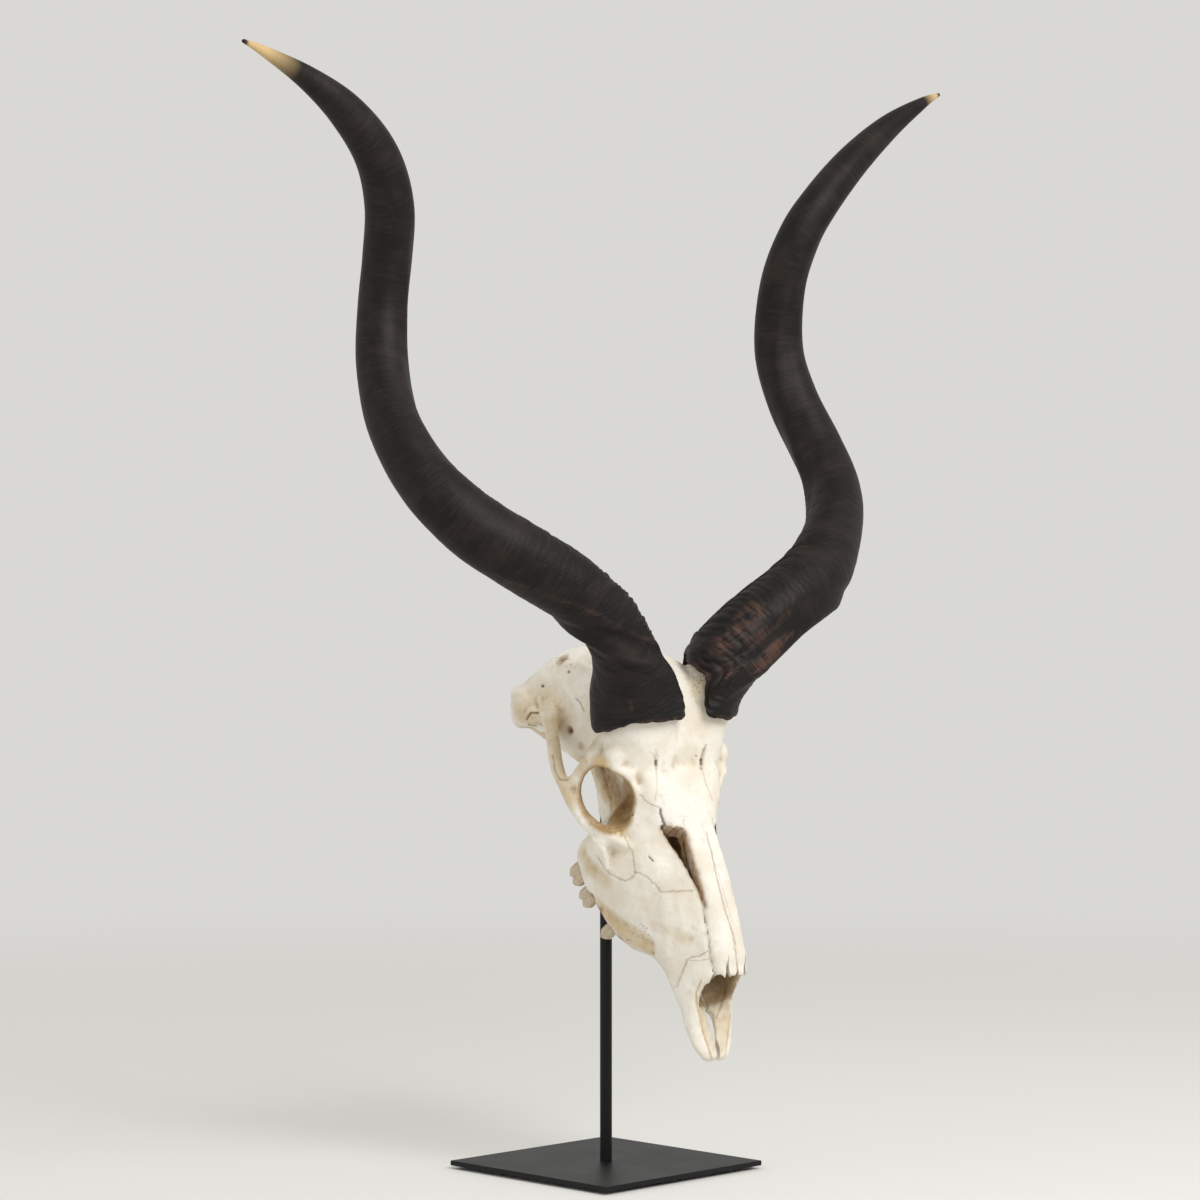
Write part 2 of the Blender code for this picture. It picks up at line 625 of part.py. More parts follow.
def make_skull(group):
    """Fuse the bone, cut its hollows and part the bones that open seams divide."""
    skull = melt(to_object("skull", bone_solids(), group), SKULL_VOXEL, smooth=2)
    for cutter in bone_cuts(group):
        boolean(skull, cutter)
    melt(skull, SKULL_VOXEL, smooth=1)
    keep_main_shell(skull)
    thin_out(skull, SKULL_TRIANGLES)
    return keep_main_shell(skull)


def seam_prism(group, side, front, back, inner, seam):
    """A wedge over a nasal bone; with its seam it is the room that the bone leaves."""
    rings = []
    last = len(NASAL_EDGE) - 1
    for i, (s, out, h) in enumerate(NASAL_EDGE):
        place = {0: front, last: back}.get(i, s)
        edge = out + seam[i]
        low = h - 4.0 - seam[i] * 0.8
        under = [(inner, low - 16), (edge * 0.62, low - 10), (edge, low)]
        corners = [*under, (edge + 1.5, h + 12), (inner, h + 40)]
        rings.append([face_point(side * x, place, level) for x, level in corners])
    bm = bmesh.new()
    skin_rings(bm, rings)
    return to_object("cut_nasal", [bm], group)


def face_prism(group, side, outline, heights):
    """A prism over an outline on the face, between two heights over the palate."""
    bm = bmesh.new()
    skin_rings(bm, [[face_point(side * x, s, h) for x, s in outline] for h in heights])
    return to_object("cut_outline", [bm], group)


def premaxilla_region(group, side, back_shift, inner):
    """The block of the snout in front of the seam between premaxilla and maxilla."""
    rings = []
    for h, s in PREMAXILLA_SEAM:
        back = s + back_shift
        corners = [(inner, -20.0), (60.0, -20.0), (60.0, back), (inner, back)]
        rings.append([face_point(side * x, place, h) for x, place in corners])
    bm = bmesh.new()
    skin_rings(bm, rings)
    return to_object("cut_premaxilla", [bm], group)


def part_the_bones(skull, group):
    """Cut the nasal bones and the premaxillae off the skull, each with its gap."""
    front, back = NASAL_EDGE[0][0], NASAL_EDGE[-1][0]
    parts = []
    for word, side in SIDES:
        nasal = copy_of(skull, group)
        nasal.name = "nasal_bone_" + word
        wedge = seam_prism(group, side, front, back, GAP / 2, [0.0] * len(NASAL_EDGE))
        boolean(wedge, face_prism(group, side, NASAL_FORK, FORK_HEIGHTS))
        boolean(nasal, wedge, "INTERSECT")
        parts.append(keep_main_shell(nasal))
    for _, side in SIDES:
        boolean(skull, seam_prism(group, side, front - 4.0, back + GAP, -GAP, NASAL_SEAM))
        boolean(skull, face_prism(group, side, FISSURE, FISSURE_HEIGHTS))
    for word, side in SIDES:
        snout = copy_of(skull, group)
        snout.name = "premaxilla_" + word
        boolean(snout, premaxilla_region(group, side, 0.0, PREMAXILLA_MID_GAP / 2), "INTERSECT")
        parts.append(keep_main_shell(snout))
    for _, side in SIDES:
        boolean(skull, premaxilla_region(group, side, GAP, -1.0))
    keep_main_shell(skull)
    return parts


# Horns


class HornSkin:
    """The surface of a horn: a keeled oval that turns as it is carried up the horn's spiral."""

    def __init__(self, path, keel, side, inset=0.0):
        self.keel = keel
        self.side = side
        self.inset = inset
        self.points = smooth_row([Vector(stop[:3]) for stop in path], 8)
        self.radii = [width.x for width in smooth_row([Vector((stop[3], 0.0)) for stop in path], 8)]
        self.lengths = [0.0]
        for a, b in zip(self.points, self.points[1:]):
            self.lengths.append(self.lengths[-1] + (b - a).length)
        self.total = self.lengths[-1]

    def axis(self, length):
        """Give the axis point, the direction and the half width at a length along the axis."""
        length = min(max(length, 0.0), self.total)
        i = 0
        while i < len(self.lengths) - 2 and self.lengths[i + 1] < length:
            i += 1
        share = (length - self.lengths[i]) / max(self.lengths[i + 1] - self.lengths[i], 1e-6)
        before = self.points[max(i - 1, 0)]
        after = self.points[min(i + 2, len(self.points) - 1)]
        point = self.points[i].lerp(self.points[i + 1], share)
        radius = self.radii[i] + (self.radii[i + 1] - self.radii[i]) * share
        return point, (after - before).normalized(), radius

    def place(self, length, angle):
        """Give the surface point at a length along the axis and an angle round from the keel."""
        point, tangent, radius = self.axis(length)
        share = length / self.total
        heading = math.radians(table_value(self.keel, share))
        keel = Vector((math.sin(heading), -math.cos(heading), 0.0))
        keel = (keel - tangent * keel.dot(tangent)).normalized()
        cross = tangent.cross(keel)
        oval = HORN_OVAL_BASE * max(0.0, 1.0 - share * 4.5)
        ridge = KEEL_HEIGHT * (1.0 - share)
        turn = min(angle % math.tau, math.tau - angle % math.tau)
        reach = radius * (1.0 + oval * math.cos(2 * angle) + ridge * math.exp(-((turn / KEEL_SPREAD) ** 2)))
        reach = max(reach * (1.0 - 0.3 * ridge) - self.inset, 0.5)
        q = point + (keel * math.cos(angle) + cross * math.sin(angle)) * reach
        return Vector((self.side * q.x, q.y, q.z))

    def ring(self, length, around):
        """Give the ring of surface points at one length."""
        return [self.place(length, math.tau * k / around) for k in range(around)]

    def rim_length(self, angle, rim):
        """Find the length at which the surface meets the height of the horn's lower edge."""
        low, high = 0.0, 200.0
        for _ in range(30):
            middle = (low + high) / 2
            q = self.place(middle, angle)
            point, _, _ = self.axis(middle)
            heading = math.degrees(math.atan2(self.side * q.x - point.x, point.y - q.y))
            if q.z < rim_height(rim, heading):
                low = middle
            else:
                high = middle
        return high


def rim_height(rim, heading):
    """Read the height of a rim at a heading."""
    first = rim[0][0]
    return table_value(rim + [(first + 360.0, rim[0][1])], first + (heading - first) % 360.0)


def horn_solid(path, rim, keel, side):
    """Carry the horn's surface from its rim to its tip."""
    skin = HornSkin(path, keel, side)
    stations = HORN_STATIONS
    angles = [math.tau * k / HORN_AROUND for k in range(HORN_AROUND)]
    starts = [skin.rim_length(angle, rim) for angle in angles]
    rings = []
    for i in range(stations + 1):
        share = i / stations
        share = share * 0.9 + 0.1 * share * share
        lengths = [start + (skin.total - start) * share for start in starts]
        rings.append([skin.place(length, a) for length, a in zip(lengths, angles)])
    root = Vector((side * path[0][0], *path[0][1:3]))
    middle = sum(rings[0], Vector()) / HORN_AROUND
    inner = [[p.lerp(root, 0.6).lerp(middle.lerp(root, 0.6), 0.3) for p in rings[0]]]
    bm = bmesh.new()
    skin_rings(bm, inner + rings)
    return bm


def make_horn(name, path, rim, keel, side, skull, group):
    """Make a horn and shape its foot to the bone that it sits on."""
    horn = to_object(name, [horn_solid(path, rim, keel, side)], group)
    boolean(horn, grow(copy_of(skull, group), BONE_GROW))
    return keep_main_shell(horn)


# Teeth


def tooth_solid(front, back, out_front, out_back, top_h, crown_h, width, side, swell=0.0):
    """A cheek tooth: a block with two cusps, drawn in at its neck."""
    length = back - front
    rings = []
    middle, tip = ALVEOLAR_H - crown_h * 0.6, ALVEOLAR_H - crown_h
    levels = ((top_h, 0.82), (ALVEOLAR_H, 0.94), (middle, 1.0), (tip, 0.9))
    for h, scale in levels:
        ring = []
        for k in range(10):
            angle = math.tau * k / 10
            s = (front + back) / 2 + math.cos(angle) * (length / 2 + swell) * scale
            share = (s - front) / length
            x = out_front + (out_back - out_front) * share - 5.0
            x += math.sin(angle) * (width / 2 + swell) * scale
            cusp = 2.6 * abs(math.sin(math.pi * 2 * share)) if h < ALVEOLAR_H - crown_h * 0.8 else 0.0
            ring.append(face_point(side * x, s, h - cusp))
        rings.append(ring)
    bm = bmesh.new()
    skin_rings(bm, rings)
    return bm


def make_teeth(skull, group):
    """Sink a socket for every cheek tooth and stand the kept teeth in theirs."""
    teeth = []
    for word, side in SIDES:
        for name, front, back, out_front, out_back, crown_h in TEETH:
            place = (front, back, out_front, out_back)
            floor, width = SOCKET_FLOOR_H + GAP, TOOTH_WIDTH - 4
            socket = tooth_solid(*place, floor, crown_h, width, side, swell=GAP + 0.1)
            boolean(skull, to_object("cut_socket", [socket], group))
            if name in TEETH_KEPT[word]:
                solid = tooth_solid(*place, SOCKET_FLOOR_H, crown_h, TOOTH_WIDTH - 4, side)
                teeth.append(to_object(f"tooth_{name}_{word}", [solid], group))
    return teeth


# The stand


def block(side, low, high):
    """Make a square block between two heights."""
    bm = bmesh.new()
    bmesh.ops.create_cube(bm, size=1.0)
    bmesh.ops.scale(bm, vec=(side, side, high - low), verts=bm.verts)
    bmesh.ops.translate(bm, vec=(0, 0, (low + high) / 2), verts=bm.verts)
    return bm


def make_stand(group):
    """Make the plate, the rubber sheet under it and the rod, in the part's own frame."""
    pad = to_object("base_pad", [block(PAD_SIDE, 0.0, PAD_HEIGHT)], group)
    plate = to_object("base_plate", [block(PLATE_SIDE, PAD_HEIGHT + GAP, PLATE_TOP)], group)
    soften = plate.modifiers.new("edge", "BEVEL")
    soften.width = PLATE_EDGE_ROUND * MM
    soften.segments = 2
    foot, top = (0, 0, PLATE_TOP + GAP), (0, 0, PLATE_TOP + ROD_TOP)
    radius = ROD_DIAMETER / 2
    rod = to_object("stand_rod", [rod_between(foot, top, radius, radius, ROUND_STEPS)], group)
    return plate, pad, rod


def dress(item, material):
    """Give an object its one material and smooth shading."""
    item.data.materials.clear()
    item.data.materials.append(material)
    item.data.shade_smooth()
    item.data.set_sharp_from_angle(angle=math.radians(40))


def main():
    """Build the part."""
    clear_scene()
    group = make_collection("horned_skull")
    finish = {name: make_material(name) for name in MATERIALS}
    plate, pad, rod = make_stand(group)
    dress(plate, finish["steel"])
    dress(rod, finish["steel"])
    dress(pad, finish["rubber"])
    skull = make_skull(group)
    horns = [
        make_horn("horn_right", HORN_PATH_RIGHT, HORN_RIM_RIGHT, KEEL_RIGHT, -1, skull, group),
        make_horn("horn_left", HORN_PATH_LEFT, HORN_RIM_LEFT, KEEL_LEFT, 1, skull, group),
    ]
    radius = ROD_DIAMETER / 2 + GAP
    hole = rod_between((0, 0, 300), (0, 0, ROD_TOP + GAP), radius, radius, ROUND_STEPS)
    boolean(skull, to_object("cut_rod_hole", [hole], group))
    bones = part_the_bones(skull, group)
    teeth = make_teeth(skull, group)
    keep_main_shell(skull)
    seat = bpy.data.objects.new("skull_seat", None)
    group.objects.link(seat)
    seat.location = (0, 0, PLATE_TOP * MM)
    seat.rotation_euler = (0, 0, math.radians(SKULL_TURN))
    for item in [skull, *bones, *teeth, *horns]:
        item.parent = seat
    for item in [skull, *bones]:
        dress(item, finish["bone"])
    for item in teeth:
        dress(item, finish["tooth"])
    for item in horns:
        dress(item, finish["horn"])
    bpy.context.view_layer.update()


main()
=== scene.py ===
"""Mounted skull of a spiral-horned antelope: weathered bone, ringed horns and a black steel stand.

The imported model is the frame. The bone, the teeth and the horns are made again here with their fine
form, over the same named sizes as the solids, and the stand keeps its solids and gets its finishes.

Two frames are used. The skull's own one is in millimetres: X to the skull's left, Y backwards from the
rod's axis, Z up from the top of the plate. The face is laid out in S, backwards from the snout's tip
along the palate, and H, from the palate up towards the forehead. A place given as (px, py) is where the
line of sight through that point of the 1200 pixel frame meets the bone.
"""

from __future__ import annotations

import bisect
import logging
import math
import random
from collections.abc import Callable, Iterable, Sequence
from dataclasses import dataclass, field
from enum import Enum

import bmesh
import bpy
import numpy as np
from mathutils import Matrix, Vector, noise
from mathutils.bvhtree import BVHTree
from mathutils.kdtree import KDTree


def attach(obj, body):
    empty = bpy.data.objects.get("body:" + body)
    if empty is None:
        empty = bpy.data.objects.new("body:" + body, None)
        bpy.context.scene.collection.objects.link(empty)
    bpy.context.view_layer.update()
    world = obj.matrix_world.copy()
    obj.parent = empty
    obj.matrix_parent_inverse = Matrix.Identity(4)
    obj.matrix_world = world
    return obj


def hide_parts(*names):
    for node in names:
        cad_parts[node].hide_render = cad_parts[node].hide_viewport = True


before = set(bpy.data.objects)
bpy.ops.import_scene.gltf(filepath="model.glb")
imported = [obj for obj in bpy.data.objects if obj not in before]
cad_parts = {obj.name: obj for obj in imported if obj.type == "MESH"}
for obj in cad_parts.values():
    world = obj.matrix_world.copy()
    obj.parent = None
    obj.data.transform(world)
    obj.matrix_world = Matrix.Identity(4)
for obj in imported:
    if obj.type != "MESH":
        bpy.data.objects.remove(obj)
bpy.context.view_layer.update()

Row = tuple[float, ...]
Rows = tuple[tuple, ...]
Stations = tuple[tuple[float, Rows], ...]
Line = Sequence[Vector]

# Lengths are in millimetres and angles in degrees.
MM = 0.001
PLATE_TOP = 8.3
SKULL_TURN = -5.0
FACE_PITCH = 55.0
SNOUT_BACK = -162.0
SNOUT_UP = 117.0
ROD_TOP = 432.0
ROD_RADIUS = 6.0
GAP = 0.3
SURROUND = (0.694, 0.687, 0.665)

# How finely curves are divided, and how cracks stray from their lines.
OUTLINE_STEPS = 4
STATION_STEPS = 6
BAR_POINTS = 20
BALL_SEGMENTS = 32
LINE_STEP = 0.8
STRAY_WAVE = 2.6

# Seed of the noise that lines stray by, which is drawn from the clock unless it is set.
NOISE_SEED = 13

# How cuts are tried and judged by volume, and what is merged and kept sharp afterwards.
CUT_TRIES = 5
PLAIN_TRIES = 3
CUT_SHIFT = (0.013, 0.017, 0.011)
TAKEN_LIMIT = 1.02
KEPT_LIMIT = 1.001
WELD = 0.02
CREASE = 60.0

# The horns: rows as the fields of Horn describe them.
RIGHT_PATH: Rows = (
    (37, -88, 396, 40), (44, -97, 440, 42), (53, -102, 469, 40.5), (66, -112, 494, 35.5),
    (83, -120, 518, 31.5), (102, -124, 540, 31), (134, -120, 565, 32), (168, -114, 585, 33.5),
    (201, -105, 604, 33.3), (230, -93, 623, 32.8), (253, -77, 646, 31), (268, -55, 673, 28.8),
    (274, -30, 705, 27), (272, -5, 739, 25.8), (265, 18, 789, 24.6), (258, 26, 840, 24),
    (257, 19, 888, 24.2), (266, 4, 936, 23.8), (289, -7, 980, 21.6), (325, -9, 1017, 17.8),
    (369, -9, 1044, 11.5), (419, -10, 1064, 5), (443, -10, 1071.5, 1.6),
)
LEFT_PATH: Rows = (
    (35, -88, 396, 38), (41, -96, 440, 38), (44, -98, 465, 38.5), (51, -103, 485, 38.5),
    (63, -110, 503, 38), (79, -116, 521, 37), (111, -121, 545, 35.8), (147, -120, 566, 36),
    (185, -111, 589, 35.6), (217, -96, 618, 31.5), (247, -74, 650, 29), (266, -47, 683, 28.6),
    (271, -17, 722, 28.4), (266, 12, 772, 27.3), (259, 25, 825, 26), (258, 18, 890, 24.3),
    (267, 3, 940, 22.8), (289, -6, 978, 21), (333, -9, 1024, 18), (387, -9, 1066, 13.2),
    (436, -12, 1096, 6.2), (461, -13, 1107.5, 1.6),
)
RIGHT_RIM: Rows = (
    (-45, 444), (-20, 443), (10, 443), (45, 441), (80, 434), (110, 431), (140, 440), (170, 464),
    (200, 486), (235, 502), (270, 496), (292, 470),
)
LEFT_RIM: Rows = (
    (-45, 480), (-43, 470), (-41, 457), (-37, 449), (-32, 446), (-22, 443.5), (3, 442.5), (24, 446),
    (40, 447.5), (54, 450), (66, 448), (90, 445), (120, 446), (150, 460), (180, 486), (202, 504),
    (222, 507), (242, 507), (253, 505), (263, 502), (272, 498.5), (291, 493), (299, 490), (308, 486),
)
RIGHT_KEEL: Rows = (
    (0.0, -45), (0.09, -45), (0.12, -25), (0.15, 40), (0.19, 95), (0.23, 130), (0.3, 190), (0.37, 225),
    (0.5, 270), (0.65, 330), (0.8, 400), (1.0, 440),
)
LEFT_KEEL: Rows = (
    (0.0, -45), (0.07, -38), (0.1, -10), (0.13, 28), (0.16, 48), (0.22, 60), (0.27, 90), (0.32, 150),
    (0.37, 205), (0.5, 270), (0.65, 330), (0.8, 400), (1.0, 440),
)

log = logging.getLogger("skull")


class Side(Enum):
    """A side of the skull, with the sign of X there; the right side faces the camera."""

    LEFT = 1
    RIGHT = -1

    @property
    def word(self) -> str:
        """The side's name in the names of pieces."""
        return self.name.lower()


class Tone(Enum):
    """A channel of the tone attribute that the finishes read."""

    WARM = 0
    BROWN = 1
    DARK = 2


# Frames and curves


def seat_matrix() -> Matrix:
    """The skull's own frame, in millimetres, carried into the part's frame, in metres."""
    lift = Matrix.Translation((0.0, 0.0, PLATE_TOP * MM))
    return lift @ Matrix.Rotation(math.radians(SKULL_TURN), 4, "Z") @ Matrix.Scale(MM, 4)


def face_point(x: float, s: float, h: float) -> Vector:
    """Turn a place on the face into the skull's frame.

    Args:
        x: Distance to the skull's left.
        s: Distance behind the snout's tip, along the palate.
        h: Height over the palate, towards the forehead.

    Returns:
        The place in the skull's frame.
    """
    pitch = math.radians(FACE_PITCH)
    back = SNOUT_BACK + s * math.cos(pitch) - h * math.sin(pitch)
    up = SNOUT_UP + s * math.sin(pitch) + h * math.cos(pitch)
    return Vector((x, back, up))


def crown_point(x: float, y: float, z: float) -> Vector:
    """Return a place on the crown, which is laid out along the skull's own axes."""
    return Vector((x, y, z))


def smooth_row(points: Sequence, steps: int, closed: bool = False) -> list:
    """Fill in a row with a smooth curve that passes through each of its points.

    Args:
        points: Vectors or numbers.
        steps: Number of places from each point to the next.
        closed: Whether the row runs on from its last point to its first.

    Returns:
        The filled row.
    """
    count = len(points)
    row = []
    for i in range(count if closed else count - 1):
        if closed:
            a, b, c, d = (points[(i + k) % count] for k in (-1, 0, 1, 2))
        else:
            a, b, c, d = points[max(i - 1, 0)], points[i], points[i + 1], points[min(i + 2, count - 1)]
        for k in range(steps):
            t = k / steps
            square = 2 * a - 5 * b + 4 * c - d
            cube = 3 * b - a - 3 * c + d
            row.append(0.5 * (2 * b + (c - a) * t + square * t * t + cube * t**3))
    if not closed:
        row.append(points[-1])
    return row


def table_value(table: Rows, key: float) -> float:
    """Read a value between the rows of a table.

    Args:
        table: Rows of (key, value), in the order of their keys.
        key: Where to read.

    Returns:
        The value there, or the nearest end's.
    """
    for (k0, v0), (k1, v1) in zip(table, table[1:]):
        if key <= k1:
            return v0 + (v1 - v0) * max(key - k0, 0.0) / (k1 - k0)
    return table[-1][1]


def spaced(line: Line, step: float) -> list[Vector]:
    """Set points along a line no further apart than a step, its own points among them."""
    points = [Vector(line[0])]
    for a, b in zip(line, line[1:]):
        count = max(1, math.ceil((b - a).length / step))
        points += [a.lerp(b, (k + 1) / count) for k in range(count)]
    return points


def wander(line: Line, amount: float) -> list[Vector]:
    """Make a line as uneven as a crack in bone, straying by an amount to each side."""
    return [p + noise.noise_vector(p / STRAY_WAVE) * amount for p in spaced(line, LINE_STEP)]


def fractal(place: Vector, octaves: int = 3, falloff: float = 0.8) -> float:
    """Give a noise of layers that are each twice as fine as the last."""
    return noise.fractal(place, falloff, 2.0, octaves)


# Solids


def wrap(
    rings: Sequence[Line], closed: bool = False, grains: Sequence[Line] | None = None
) -> bmesh.types.BMesh:
    """Wrap a grid round a run of rings and close it.

    Args:
        rings: Rings with the same number of points, in order along the piece.
        closed: Whether the last ring runs on into the first; otherwise both ends get a face.
        grains: For each place on the rings, what its grain attribute holds.

    Returns:
        The closed mesh, its faces outwards.
    """
    around, along = len(rings[0]), len(rings)
    bm = bmesh.new()
    rows = along if closed else along - 1
    bmesh.ops.create_grid(bm, x_segments=around, y_segments=rows, size=1.0)
    layer = bm.verts.layers.float_vector.new("grain") if grains else None
    for vert in bm.verts:
        i = round((vert.co.x + 1.0) / 2.0 * around) % around
        j = round((vert.co.y + 1.0) / 2.0 * rows) % along
        vert.co = rings[j][i]
        if layer:
            vert[layer] = grains[j][i]
    bmesh.ops.remove_doubles(bm, verts=bm.verts, dist=1e-4)
    if not closed:
        bmesh.ops.holes_fill(bm, edges=[e for e in bm.edges if e.is_boundary], sides=0)
    face_outwards(bm)
    return bm


def face_outwards(bm: bmesh.types.BMesh) -> None:
    """Turn every face of a closed mesh outwards."""
    bmesh.ops.recalc_face_normals(bm, faces=bm.faces)
    if bm.calc_volume(signed=True) < 0.0:
        bmesh.ops.reverse_faces(bm, faces=bm.faces)


def loft(stations: Stations, place: Callable) -> bmesh.types.BMesh:
    """Loft a solid through half outlines, each at its own distance along the axis.

    Args:
        stations: Rows of (distance, half outline), the outline from top to bottom.
        place: Turns (x, distance, height) into the skull's frame.

    Returns:
        The solid.
    """
    outlines = []
    for _, half in stations:
        right = [Vector(p) for p in half]
        left = [Vector((-p[0], p[1])) for p in reversed(half[1:-1])]
        outlines.append(smooth_row(right + left, OUTLINE_STEPS, closed=True))
    columns = []
    for i in range(len(outlines[0])):
        column = [Vector((o[i].x, station[0], o[i].y)) for station, o in zip(stations, outlines)]
        columns.append([place(*p) for p in smooth_row(column, STATION_STEPS)])
    return wrap(list(zip(*columns)))


def bar(
    stops: Rows, side: int, flat_from: Row = (0.0, -80.0, 400.0), closed: bool = False
) -> bmesh.types.BMesh:
    """Sweep an oval through stops.

    Args:
        stops: Rows of (out, y, z, width, thickness).
        side: 1 for the skull's left, -1 for its right.
        flat_from: The place that the oval's flat side faces.
        closed: Whether the bar is a ring.

    Returns:
        The solid.
    """
    path = smooth_row([Vector(stop[:3]) for stop in stops], STATION_STEPS, closed)
    spans = smooth_row([Vector(stop[3:]) for stop in stops], STATION_STEPS, closed)
    rings = []
    for i, p in enumerate(path):
        before = path[i - 1] if closed else path[max(i - 1, 0)]
        after = path[(i + 1) % len(path)] if closed else path[min(i + 1, len(path) - 1)]
        tangent = (after - before).normalized()
        thin = (p - Vector(flat_from)).cross(tangent).cross(tangent).normalized()
        wide = tangent.cross(thin)
        ring = []
        for k in range(BAR_POINTS):
            angle = math.tau * k / BAR_POINTS
            q = p + wide * math.cos(angle) * spans[i].x / 2 + thin * math.sin(angle) * spans[i].y / 2
            ring.append(Vector((side * q.x, q.y, q.z)))
        rings.append(ring)
    return wrap(rings, closed)


def ball(centre: Row, radii: Row, tilt: float = 0.0) -> bmesh.types.BMesh:
    """Make an egg-shaped solid with its half sizes along X, Y and Z, turned about X."""
    bm = bmesh.new()
    rows = BALL_SEGMENTS // 2
    bmesh.ops.create_uvsphere(bm, u_segments=BALL_SEGMENTS, v_segments=rows, radius=1.0)
    spin = Matrix.Rotation(math.radians(tilt), 4, "X")
    bm.transform(Matrix.Translation(centre) @ spin @ Matrix.Diagonal((*radii, 1.0)))
    return bm


def cone(start: Row, end: Row, radius_start: float, radius_end: float, sides: int = 32) -> bmesh.types.BMesh:
    """Make a round bar or a cone between two places."""
    start, end = Vector(start), Vector(end)
    bm = bmesh.new()
    bmesh.ops.create_cone(
        bm,
        cap_ends=True,
        segments=sides,
        radius1=radius_start,
        radius2=radius_end,
        depth=(end - start).length,
    )
    spin = (end - start).to_track_quat("Z", "Y").to_matrix().to_4x4()
    bm.transform(Matrix.Translation((start + end) / 2) @ spin)
    return bm


def corners_of(shape: bmesh.types.BMesh) -> tuple[Vector, Vector]:
    """Give the lowest and the highest corner of a mesh's box."""
    spans = [[vert.co[axis] for vert in shape.verts] for axis in range(3)]
    return Vector([min(span) for span in spans]), Vector([max(span) for span in spans])


def as_one(shapes: Iterable[bmesh.types.BMesh]) -> bmesh.types.BMesh:
    """Put meshes together into one and free them."""
    whole = bmesh.new()
    for shape in shapes:
        mesh = bpy.data.meshes.new("shape")
        shape.to_mesh(mesh)
        shape.free()
        whole.from_mesh(mesh)
        bpy.data.meshes.remove(mesh)
    return whole


def as_object(name: str, shapes: Iterable[bmesh.types.BMesh]) -> bpy.types.Object:
    """Put one or more meshes into one object."""
    whole = as_one(shapes)
    mesh = bpy.data.meshes.new(name)
    whole.to_mesh(mesh)
    whole.free()
    item = bpy.data.objects.new(name, mesh)
    bpy.context.scene.collection.objects.link(item)
    return item


def settle(item: bpy.types.Object) -> bpy.types.Object:
    """Replace an object's mesh by what its modifiers make of it."""
    graph = bpy.context.evaluated_depsgraph_get()
    mesh = bpy.data.meshes.new_from_object(item.evaluated_get(graph))
    old = item.data
    item.modifiers.clear()
    item.data = mesh
    bpy.data.meshes.remove(old)
    return item


def melt(item: bpy.types.Object, voxel: float, smooth: int) -> bpy.types.Object:
    """Fuse all the shells of an object into one skin and soften its creases.

    Args:
        item: The object.
        voxel: Size of the skin's faces, in millimetres.
        smooth: Rounds of smoothing.

    Returns:
        The same object.
    """
    remesh = item.modifiers.new("fuse", "REMESH")
    remesh.mode = "VOXEL"
    remesh.voxel_size = voxel
    soften = item.modifiers.new("soften", "SMOOTH")
    soften.factor = 0.5
    soften.iterations = smooth
    return settle(item)


def mesh_of(item: bpy.types.Object) -> bmesh.types.BMesh:
    """Open a copy of an object's mesh, which the caller frees."""
    bm = bmesh.new()
    bm.from_mesh(item.data)
    return bm


def volume_of(item: bpy.types.Object) -> float:
    """Measure an object's mesh, in cubic millimetres."""
    bm = mesh_of(item)
    volume = bm.calc_volume(signed=True)
    bm.free()
    return volume


def boolean(
    item: bpy.types.Object, other: bpy.types.Object, operation: str = "DIFFERENCE"
) -> bpy.types.Object:
    """Cut with another object, or keep what lies within it, and remove that object.

    A cut has gone wrong if it takes away more than its cutter holds or leaves more than there was. It
    is then done again with the cutter moved a hair. After the last try the object stays as it was.

    Args:
        item: The object that is changed.
        other: The cutter.
        operation: DIFFERENCE or INTERSECT.

    Returns:
        The changed object.
    """
    start, before, room = item.data.copy(), volume_of(item), volume_of(other)
    for attempt in range(CUT_TRIES):
        change = item.modifiers.new("change", "BOOLEAN")
        change.operation = operation
        change.solver = "EXACT"
        change.use_self = attempt >= PLAIN_TRIES
        change.object = other
        settle(item)
        after = volume_of(item)
        low, high = (before - room * TAKEN_LIMIT, before) if operation == "DIFFERENCE" else (0.0, room)
        if max(low, 1.0) < after < high * KEPT_LIMIT + 1.0:
            break
        log.info("%s: cut %d left %.0f of %.0f, cutter %.0f", item.name, attempt, after, before, room)
        item.data = start.copy()
        other.data.transform(Matrix.Translation(CUT_SHIFT))
    cutter = other.data
    bpy.data.objects.remove(other, do_unlink=True)
    for mesh in (start, cutter):
        bpy.data.meshes.remove(mesh)
    return item


def keep_main_shell(item: bpy.types.Object) -> bpy.types.Object:
    """Delete loose shells apart from the largest, and merge what a cut left on one place."""
    bm = mesh_of(item)
    bmesh.ops.remove_doubles(bm, verts=bm.verts, dist=WELD)
    bmesh.ops.dissolve_degenerate(bm, edges=bm.edges, dist=WELD)
    seen: set = set()
    shells = []
    for seed in bm.verts:
        if seed in seen:
            continue
        shell = {seed}
        front = [seed]
        while front:
            for edge in front.pop().link_edges:
                for vert in edge.verts:
                    if vert not in shell:
                        shell.add(vert)
                        front.append(vert)
        seen |= shell
        shells.append(shell)
    shells.sort(key=len)
    for shell in shells[:-1]:
        bmesh.ops.delete(bm, geom=list(shell), context="VERTS")
    bm.to_mesh(item.data)
    bm.free()
    return item


def copy_of(item: bpy.types.Object, name: str) -> bpy.types.Object:
    """Copy an object with its mesh."""
    twin = item.copy()
    twin.name = name
    twin.data = item.data.copy()
    bpy.context.scene.collection.objects.link(twin)
    return twin


def tree_of(item: bpy.types.Object) -> BVHTree:
    """Make the tree that finds places on an object's skin."""
    bm = mesh_of(item)
    tree = BVHTree.FromBMesh(bm)
    bm.free()
    return tree


def points_tree(points: Sequence) -> KDTree:
    """Make the tree that finds which points are near a place."""
    tree = KDTree(len(points))
    for i, point in enumerate(points):
        tree.insert(point, i)
    tree.balance()
    return tree


